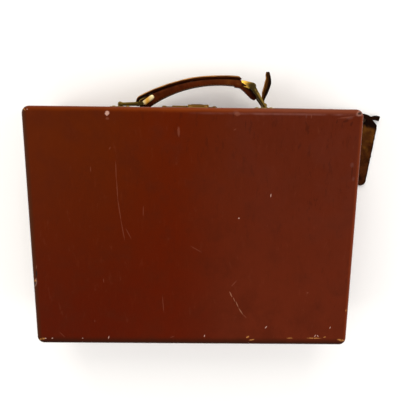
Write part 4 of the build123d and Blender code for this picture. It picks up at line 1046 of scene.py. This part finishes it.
# Handle: in millimetres in its own plane, from the left link's outer bar towards the right one
handle = {
    "lean": 8.82,
    "span": 137.0,
    "stripWidth": 15.0,
    "stripThick": 3.7,
    "stripHollow": 0.9,
    "noseStart": 120.8,
    "strip": (
        (-5.6, -3.4), (-5.6, 0.6), (-4.0, 4.4), (-0.6, 6.5), (11.9, 10.4), (24.7, 13.3),
        (37.5, 15.6), (50.2, 17.2), (62.7, 18.2), (75.1, 18.1), (87.4, 17.2), (99.4, 15.8),
        (111.6, 14.0), (121.0, 11.9), (124.2, 10.2)),
    "body": (-4.6, 125.0),
    "bodyWidth": 13.6,
    "bodyPower": 4.5,
    "seam": ((-1.0, 4.6), (62.7, 16.4), (129.0, 8.2)),
    "seamReach": (-1, 128.9),
    "seamLap": 0.3,
    "under": ((12.0, -5.0), (69.0, 8.1), (123.6, 0.2)),
    "underReach": (2.0, 123.5),
    "tab": ((115.5, 5.2), (121.5, 3.6), (126.4, -0.2), (131.4, -6.4), (135.8, -12.0), (139.0, -16.0)),
    "tabThick": 7.2,
}
lean = math.radians(handle["lean"])
along = Vector((-math.cos(lean), -math.sin(lean), 0))
outwards = upwards.cross(along)
handlePivot = jointPlace["handle_pivot"]
handlePlace = Matrix.Translation(handlePivot) @ Matrix((along, outwards, upwards)).transposed().to_4x4()
handleInverse = handlePlace.inverted()
seamArc = arcHeight(*handle["seam"])
underArc = arcHeight(*handle["under"])


def handlePoint(p, q, z=0):
    return handlePlace @ (Vector((p, q, z)) * mm)


def handleParts(co):  # the way back, from a point to p, q and z
    return handleInverse @ co / mm


def seamHeight(p):
    return seamArc(clamp(p, *handle["seamReach"]))


def underHeight(p):
    return underArc(clamp(p, *handle["underReach"]))


def squareness(y, z, power):  # moves a point of a circle out to a rounded square
    size = (abs(y) ** power + abs(z) ** power) ** (1 / power)
    return (y / size, z / size) if size > 1e-9 else (0, 0)


def bodyWidth(p):  # half the body's width, less towards its ends
    return handle["bodyWidth"] / 2 * (0.86 + 0.14 * math.sin(math.pi * clamp((p + 5) / 129)) ** 0.6)


def makeHandleBody():
    start, end = handle["body"]

    def section(share, y, z):
        p = start + (end - start) * (0.5 - 0.5 * math.cos(math.pi * share))
        radial = math.hypot(y, z)
        a, b = squareness(y, z, handle["bodyPower"])
        top, low = seamHeight(p) + handle["seamLap"], underHeight(p)
        ends = min((p - start) / 3.0, (end - p) / 2.5, 1)
        ends = max(math.sqrt(max(1 - (1 - ends) ** 2, 0.0)), 0.02)
        half = (top - low) / 2 * ends
        return handlePoint(p, (top + low) / 2 + a * half * radial, b * bodyWidth(p) * ends * radial)

    # painted shade under the strip and along the lower edge, and darker towards the left end
    def grimeAndShade(co, normal):  # darker under the strip and towards the left end
        p, q, z = handleParts(co)
        nearStrip = 1 - (seamHeight(p) - q) / 2.2
        return max(nearStrip * 0.8, 0.75 * (1 - (p + 2) / 18), 0.35 * (1 - (q - underHeight(p)) / 2.0))

    body = tubeShape(60, section)
    storeWearAndLight(body, "grimeAndShade", grimeAndShade)
    storeWearAndLight(body, "rubAndHighlight", lambda co, normal: 0.5 * max(handleParts(co).x - 60, 0) / 60)
    return finishPiece(body, "handleBody", "handle", handleLeather, ["handle_grip"])


def makeHandleStrip():
    points, nose = handle["strip"], handle["noseStart"]
    (lastP, lastQ), tipP = points[-2], points[-1][0]

    def width(share):
        return handle["stripWidth"] * mm * (0.88 + 0.12 * math.sin(math.pi * share) ** 0.5)

    # painted highlight along both long edges of the outer face
    def rubAndHighlight(co, normal):  # on the outer face, close to its long edges
        return (normal.dot(outwards) - 0.12) * 2.6 * clamp((abs(handleParts(co).z) - 5.3) / 1.2)

    # painted shade on faces turned away from the outer face
    def grimeAndShade(co, normal):  # away from the outer face, less towards the right
        return (0.9 - 3.0 * max(normal.dot(outwards), 0)) * (1 - handleParts(co).x / 90)

    strip = layRibbon(
        smoothRoute([handlePoint(p, q) for p, q in points], 110), upwards, width,
        handle["stripThick"] * mm, crown=-handle["stripHollow"] * mm, lanes=8, rounding=0.44)
    for vertex in strip.data.vertices:  # a rounded nose at the right end
        p, q, z = handleParts(vertex.co)
        if p > nose:
            middle = lastQ + (p - lastP) * -0.5
            slim = math.sqrt(max(1 - min((p - nose) / (tipP - nose + 0.6), 1) ** 2, 0.04))
            vertex.co = handlePoint(p, middle + (q - middle) * slim, z * (0.55 + 0.45 * slim))
    storeWearAndLight(strip, "rubAndHighlight", rubAndHighlight)
    storeWearAndLight(strip, "grimeAndShade", grimeAndShade)
    return finishPiece(strip, "handleStrip", "handle", handleRim, ["handle_top_strip"])


def makeHandleTab():
    start, end = Vector(handle["tab"][2]), Vector(handle["tab"][-1])
    direction = (end - start).normalized()

    def width(share):
        return (12.4 - 3.4 * min(share * 2.2, 1) - 2.6 * max(share - 0.8, 0) / 0.2) * mm

    def beside(p, q):  # how far a point lies from the tab's middle line
        return direction.x * (q - start.y) - direction.y * (p - start.x)

    # painted shade on the side towards the link
    def grimeAndShade(co, normal):  # near black on the side towards the link
        p, q, z = handleParts(co)
        return clamp((beside(p, q) - 0.3) * 0.8, 0, 0.9) if p > 121 else 0

    route = smoothRoute([handlePoint(p, q) for p, q in handle["tab"]], 30)
    strip = layRibbon(route, upwards, width, handle["tabThick"] * mm, lanes=6)
    for vertex in strip.data.vertices:  # thinner towards its tip
        p, q, z = handleParts(vertex.co)
        share = (Vector((p, q)) - start).dot(direction) / (end - start).length
        pull = beside(p, q) * 0.5 * min(max(share - 0.7, 0) / 0.3, 1) ** 2
        vertex.co = handlePoint(p + direction.y * pull, q - direction.x * pull, z)
    storeWearAndLight(strip, "grimeAndShade", grimeAndShade)
    return finishPiece(strip, "handleTab", "handle", handleLeather, ["handle_tab"])


# Right eye: a cast loop with sloping cheeks, let into the grip's end
rightEye = {
    "neck": (125.0, 5.6),
    "neckRadius": 3.4,
    "ringRadius": 4.6,
    "halfWidth": 5.5,
    "bore": 3.1,
    "edge": 0.35,
    "slope": 65.0,
    "draft": 0.42,
}


def makeRightEye():
    ring, radius, half = (handle["span"], 0.0), rightEye["ringRadius"], rightEye["halfWidth"]
    outline = hullOutline(rightEye["neck"], rightEye["neckRadius"], ring, radius)
    eye = plateShape(outline, -half, half)
    slope = math.radians(rightEye["slope"])
    for vertex in eye.data.vertices:
        x, y = vertex.co.x / mm - ring[0], vertex.co.y / mm - ring[1]
        reach = x * math.cos(slope) + y * math.sin(slope) + radius
        vertex.co.z -= math.copysign(rightEye["draft"] * reach * mm, vertex.co.z)
    bore = addRod(rightEye["bore"], -half - 2.5, half + 2.5, ring)
    applyModifier(eye, "BOOLEAN", operation="DIFFERENCE", object=bore, solver="FAST")
    remove(bore)
    softenEdges(eye, rightEye["edge"] * mm, 2, 35)
    eye.data.transform(handlePlace)
    faceOutwards(eye)
    storeWearAndLight(eye, "grimeAndShade", lambda co, normal: (handleParts(co).x - 131.5) / 1.5)
    return finishPiece(eye, "handleEyeRight", "handle", warmBrass, ["handle_eye_right"])


# Saddle: polished plates on both flanks of the grip's left end, pale towards both ends as painted highlights
saddle = {
    "low": (2.9, -0.8),
    "high": (12.8, 4.3),
    "radius": 3.0,
    "reach": (4.6, 8.3),
    "edge": 1.9,
    "grid": 2.0,
    "middle": 7.0,
}


def makeSaddle():
    outline = hullOutline(saddle["low"], saddle["radius"], saddle["high"], saddle["radius"])
    plates = []
    for side in (1, -1):
        plate = plateShape(outline, *saddle["reach"])
        softenEdges(plate, saddle["edge"] * mm, 5)
        cutGrid(plate, saddle["grid"] * mm, [across])
        plate.data.transform(Matrix.Diagonal((1, 1, side, 1)))
        plates.append(plate)
    pair = joinPieces(plates)
    # yellow towards the middle, between the painted highlights at the ends
    storeWearAndLight(pair, "grimeAndShade", lambda co, normal: 1.3 - abs(co.x / mm - saddle["middle"]) / 4.0)
    pair.data.transform(handlePlace)
    faceOutwards(pair)
    return finishPiece(pair, "handleSaddle", "handle", paintedHighlightBrass)


# Stitches low on both sides of the grip
stitches = {
    "start": 14.0,
    "pitch": 3.3,
    "length": 104.0,
    "rise": 0.85,
    "sink": 0.985,
    "size": (1.2, 0.55, 0.40),
}


def makeHandleStitches():
    clearSelection()
    bpy.ops.mesh.primitive_uv_sphere_add(segments=8, ring_count=5, radius=1)
    bead = bpy.context.object
    bead.scale = Vector(stitches["size"]) * mm
    settle(bead)
    places = []
    for side in (1, -1):
        for i in range(int(stitches["length"] / stitches["pitch"])):
            p = stitches["start"] + stitches["pitch"] * i
            turn = math.atan2(underHeight(p + 1) - underHeight(p - 1), 2)
            spot = Vector((p, underHeight(p) + stitches["rise"], side * bodyWidth(p) * stitches["sink"]))
            places.append(handlePlace @ Matrix.Translation(spot * mm) @ Matrix.Rotation(turn, 4, "Z"))
    row = rowOf(bead, places)
    remove(bead)
    return finishPiece(row, "handleStitches", "handle", thread, angle=180)


# Links: brass loops of two flat sides, above and below the handle, joined by upright bars
link = {"wire": 1.35, "half": 10.0, "edge": 0.95, "grid": 1.5}


def makeLink(name, node, start, end, side, startHull, endHull, finish, foot):
    gap = end - start
    length = gap.length / mm
    aside = upwards.cross(gap.normalized()) * side
    place = Matrix.Translation(start) @ Matrix((gap.normalized(), aside, upwards)).transposed().to_4x4()
    outline = hullOutline((0, startHull[0]), startHull[1], (length - foot, endHull[0]), endHull[1])
    pieces = []
    for middle in (-link["half"], link["half"]):
        plate = plateShape(outline, middle - link["wire"], middle + link["wire"])
        cutGrid(plate, link["grid"] * mm, [across, deepwards])
        softenEdges(plate, link["edge"] * mm, 3)
        pieces.append(plate)
    for x in (0, length):
        pieces.append(addRod(link["wire"], -link["half"], link["half"], (x, 0)))

    # painted shade at the handle's end and on the inner side
    def grimeAndShade(co, normal):  # at the handle's end and on one side
        x, y = co.x / mm, co.y / mm
        return max(1 - (x - 3.5) / 2.5, (y - 0.5) / 0.8) * (0.95 if x < length - 4 else 0.8)

    loop = joinPieces(pieces)
    storeWearAndLight(loop, "grimeAndShade", grimeAndShade)
    loop.data.transform(place)
    faceOutwards(loop)
    return finishPiece(loop, name, node.replace("handle_", ""), finish, [node])


makeHandleBody()
makeHandleStrip()
makeHandleTab()
makeRightEye()
makeSaddle()
makeHandleStitches()
# name, node, handle's end, case's end, side, and the hull's height and radius at each end
makeLink(
    "linkLeft", "handle_link_left", handlePivot, jointPlace["link_left_pivot"], 1,
    (1.6, 2.3), (0.5, 1.8), oliveBrass, 0.2)
makeLink(
    "linkRight", "handle_link_right", handlePoint(handle["span"], 0), jointPlace["link_right_pivot"], -1,
    (1.0, 3.1), (0.9, 1.7), agedBrass, 0.3)
print("handle made")


# Luggage label: in millimetres from the middle of its shoulders, across and towards its foot
label = {
    "origin": (-221.85, -125.4, 0),
    "tilt": 7.1,
    "width": 39.0,
    "length": 82.0,
    "outer": 1.6,
    "shoulder": 9.4,
    "topWidth": 17.0,
    "corner": 8.0,
    "topCorner": 2.5,
    "edge": 0.35,
    "grid": 3.0,
    "ragged": 0.9,
    "raggedReach": 4.0,
    "dish": 0.4,
    "back": (0.0, 1.6),
    "front": (2.0, 3.6),
}
tilt = math.radians(label["tilt"])
labelAcross = Vector((-math.cos(tilt), math.sin(tilt), 0))
labelUp = upwards.cross(labelAcross)
labelPlace = Matrix.Translation(Vector(label["origin"]) * mm) @ Matrix(
    (labelAcross, labelUp, upwards)).transposed().to_4x4()


def makeLabelLayer(name, heights, node, inset):
    half, reach = label["width"] / 2, label["raggedReach"] * mm
    low = Vector((-half + inset, -label["length"] + inset, heights[0])) * mm
    high = Vector((half + label["outer"] - inset, 0, heights[1])) * mm
    layer = addBlock(low, high)
    pick(layer, "FACE", lambda centre, normal: normal.y > 0.9)
    rise = (0, (label["shoulder"] - inset) * mm, 0)
    bpy.ops.mesh.extrude_region_move(TRANSFORM_OT_translate={"value": rise})
    bpy.ops.transform.resize(value=(label["topWidth"] / label["width"], 1, 1), center_override=(0, 0, 0))
    done()
    bevelEdges(layer, label["corner"] * mm, 8, lambda a, b: abs(a.z - b.z) > mm / 2 and a.y < -50 * mm)
    bevelEdges(layer, label["topCorner"] * mm, 4, lambda a, b: abs(a.z - b.z) > mm / 2 and a.y > -mm)
    softenEdges(layer, label["edge"] * mm, 2)
    cutGrid(layer, label["grid"] * mm, [across, deepwards])
    for vertex in layer.data.vertices:  # a ragged outer edge and a slight dish
        x, y = vertex.co.x, vertex.co.y
        edge = max(x - half * mm + reach, 0) / reach
        vertex.co.x -= label["ragged"] * mm * edge * (0.5 + 0.5 * noise.noise(Vector((3, y * 260, 0))))
        if vertex.co.z > 3 * mm:
            vertex.co.z += label["dish"] * mm * noise.noise(Vector((x * 60, y * 60, 0)))

    def grimeAndShade(co, normal):  # near black towards the shoulders and along the outer edge
        x, y = co.x / mm, co.y / mm
        ragged = 1.6 * noise.noise(Vector((co.x * 350, co.y * 350, 1)))
        shoulder = (y + 3.2 + 0.16 * abs(x) + ragged) / 2.0
        return max(shoulder, (x - half + 0.7 + ragged * 0.5) / 1.2, (-y - 45) / 70 + ragged * 0.1)

    def rubAndHighlight(co, normal):  # patchy, less towards the foot
        return 0.5 + 0.4 * noise.noise(Vector((co.x * 130, co.y * 90, 5))) + co.y / mm / 120

    storeWearAndLight(layer, "grimeAndShade", grimeAndShade)
    storeWearAndLight(layer, "rubAndHighlight", rubAndHighlight)
    layer.data.transform(labelPlace)
    faceOutwards(layer)
    return finishPiece(layer, name, "label", labelLeather, [node])


makeLabelLayer("labelBack", label["back"], "label_back", 0)
makeLabelLayer("labelFront", label["front"], "label_front", 0.3)


# Label strap: in millimetres, narrow at the anchor, with a waist before its flared tip
labelStrap = {"thick": 1.0, "wallGap": 0.3, "labelGap": 0.6, "narrow": 4.2, "wide": 7.5, "waist": 0.93}


def makeLabelStrap():
    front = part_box("base_wall_leather")[0].y
    anchor = jointPlace["label_swing"]
    thick = labelStrap["thick"] * mm
    wallLine = front - labelStrap["wallGap"] * mm - thick / 2
    top = (label["front"][1] + labelStrap["labelGap"]) * mm
    places = [
        # place, and which way the strap's width points
        ((anchor.x - 0.0010, anchor.y + 0.0014, 0.0317), upwards),
        ((anchor.x - 0.0040, wallLine - 0.0007, 0.0315), upwards),
        ((anchor.x - 0.0080, wallLine, 0.0310), upwards),
        ((anchor.x - 0.015, wallLine, 0.0300), upwards),
        ((anchor.x - 0.040, wallLine, 0.0235), upwards),
        ((anchor.x - 0.065, wallLine, 0.0170), upwards),
        ((-0.170, wallLine, 0.0100), upwards),
        ((-0.180, wallLine, 0.0080), upwards),
        ((-0.1895, front + 0.0004, 0.0066), upwards),
        ((-0.1955, front + 0.0016, 0.0058), upwards * 0.8 + Vector((0, -0.4, 0))),
        ((-0.2020, front + 0.0034, 0.0050), upwards * 0.45 + Vector((0, -1, 0))),
        ((-0.212, front + 0.0060, top + 0.0003), Vector((0.2, -1, 0.1))),
        ((-0.2225, front + 0.0080, top), Vector((0.1, -1, 0))),
        ((-0.2315, front + 0.0098, top), Vector((-0.1, -1, 0))),
        ((-0.2380, front + 0.0094, top), Vector((-0.2, -1, 0))),
        ((-0.2436, front + 0.0106, top), Vector((-0.35, -1, 0))),
    ]
    route = smoothRoute([place for place, side in places], 110)
    sides = []
    for point in route:
        last = len(places) - 2
        k = next((i for i in range(last) if point.x > places[i + 1][0][0]), last)
        (start, first), (end, second) = places[k], places[k + 1]
        share = clamp((start[0] - point.x) / (start[0] - end[0]))
        sides.append(first.normalized().lerp(second.normalized(), share))

    def width(share):
        narrow, wide = labelStrap["narrow"], labelStrap["wide"]
        waist = 1 - 0.42 * math.exp(-((share - labelStrap["waist"]) / 0.022) ** 2)
        return (narrow + (wide - narrow) * min(share / 0.15, 1)) * waist * mm * (0.86 if share > 0.95 else 1)

    strap = layRibbon(route, sides, width, thick)
    storeWearAndLight(strap, "grimeAndShade", lambda co, normal: 0.9)
    return finishPiece(strap, "labelStrap", "label", strapLeather, ["label_strap"])


# Loose end of the strap, in millimetres
looseEnd = {
    "height": 36.3,
    "thick": 1.8,
    "crown": 0.5,
    # from the anchor: sideways, out from the case, width, how far it rises
    "shape": (
        (1.9, -3.0, 3.0, 0), (1.9, -6.0, 3.2, 0.1), (1.1, -9.5, 4.2, 0.3), (-0.15, -15.0, 6.9, 0.7),
        (-2.3, -22.0, 7.7, 0.9), (-3.6, -27.5, 8.0, 0.6), (-3.9, -32.5, 6.2, 0.2),
        (-3.2, -37.0, 5.4, 0), (-3.1, -39.0, 4.4, 0), (-3.1, -40.2, 2.2, 0)),
    "tipStart": -34.0,
}


def makeLooseEnd():
    anchor = jointPlace["label_swing"]
    shape = looseEnd["shape"]
    points = [
        Vector((anchor.x + x * mm, anchor.y + y * mm, (looseEnd["height"] + rise) * mm))
        for x, y, width, rise in shape]
    first, last = shape[0][1], shape[-1][1]

    def between(y):  # sideways place and width, that far out from the case
        for start, end in zip(shape, shape[1:]):
            if y >= end[1]:
                part = clamp((y - start[1]) / (end[1] - start[1]))
                return start[0] * (1 - part) + end[0] * part, start[2] * (1 - part) + end[2] * part
        return None

    def width(share):
        found = between(first + (last - first) * share)
        return (found[1] if found else shape[-1][2]) * mm

    def offset(co):  # how far to the right of its middle, as a share of half its width
        found = between((co.y - anchor.y) / mm)
        return (found[0] - (co.x - anchor.x) / mm) / (found[1] / 2) if found else 0

    # painted shade over the right side up to the tip, and an even 0.45 over the tip
    def grimeAndShade(co, normal):
        return 3.2 * (offset(co) + 0.12) if co.y - anchor.y > looseEnd["tipStart"] * mm else 0.45

    strap = layRibbon(
        smoothRoute(points, 44), Vector((-1, 0.1, 0)), width, looseEnd["thick"] * mm,
        crown=looseEnd["crown"] * mm, lanes=10)
    storeWearAndLight(strap, "grimeAndShade", grimeAndShade)
    # painted highlight along the left edge
    storeWearAndLight(strap, "rubAndHighlight", lambda co, normal: (-0.62 - offset(co)) * 3)
    return finishPiece(strap, "strapLooseEnd", "base", strapLeather, ["strap_loose_end"])


makeLabelStrap()
makeLooseEnd()
print("label and straps made")
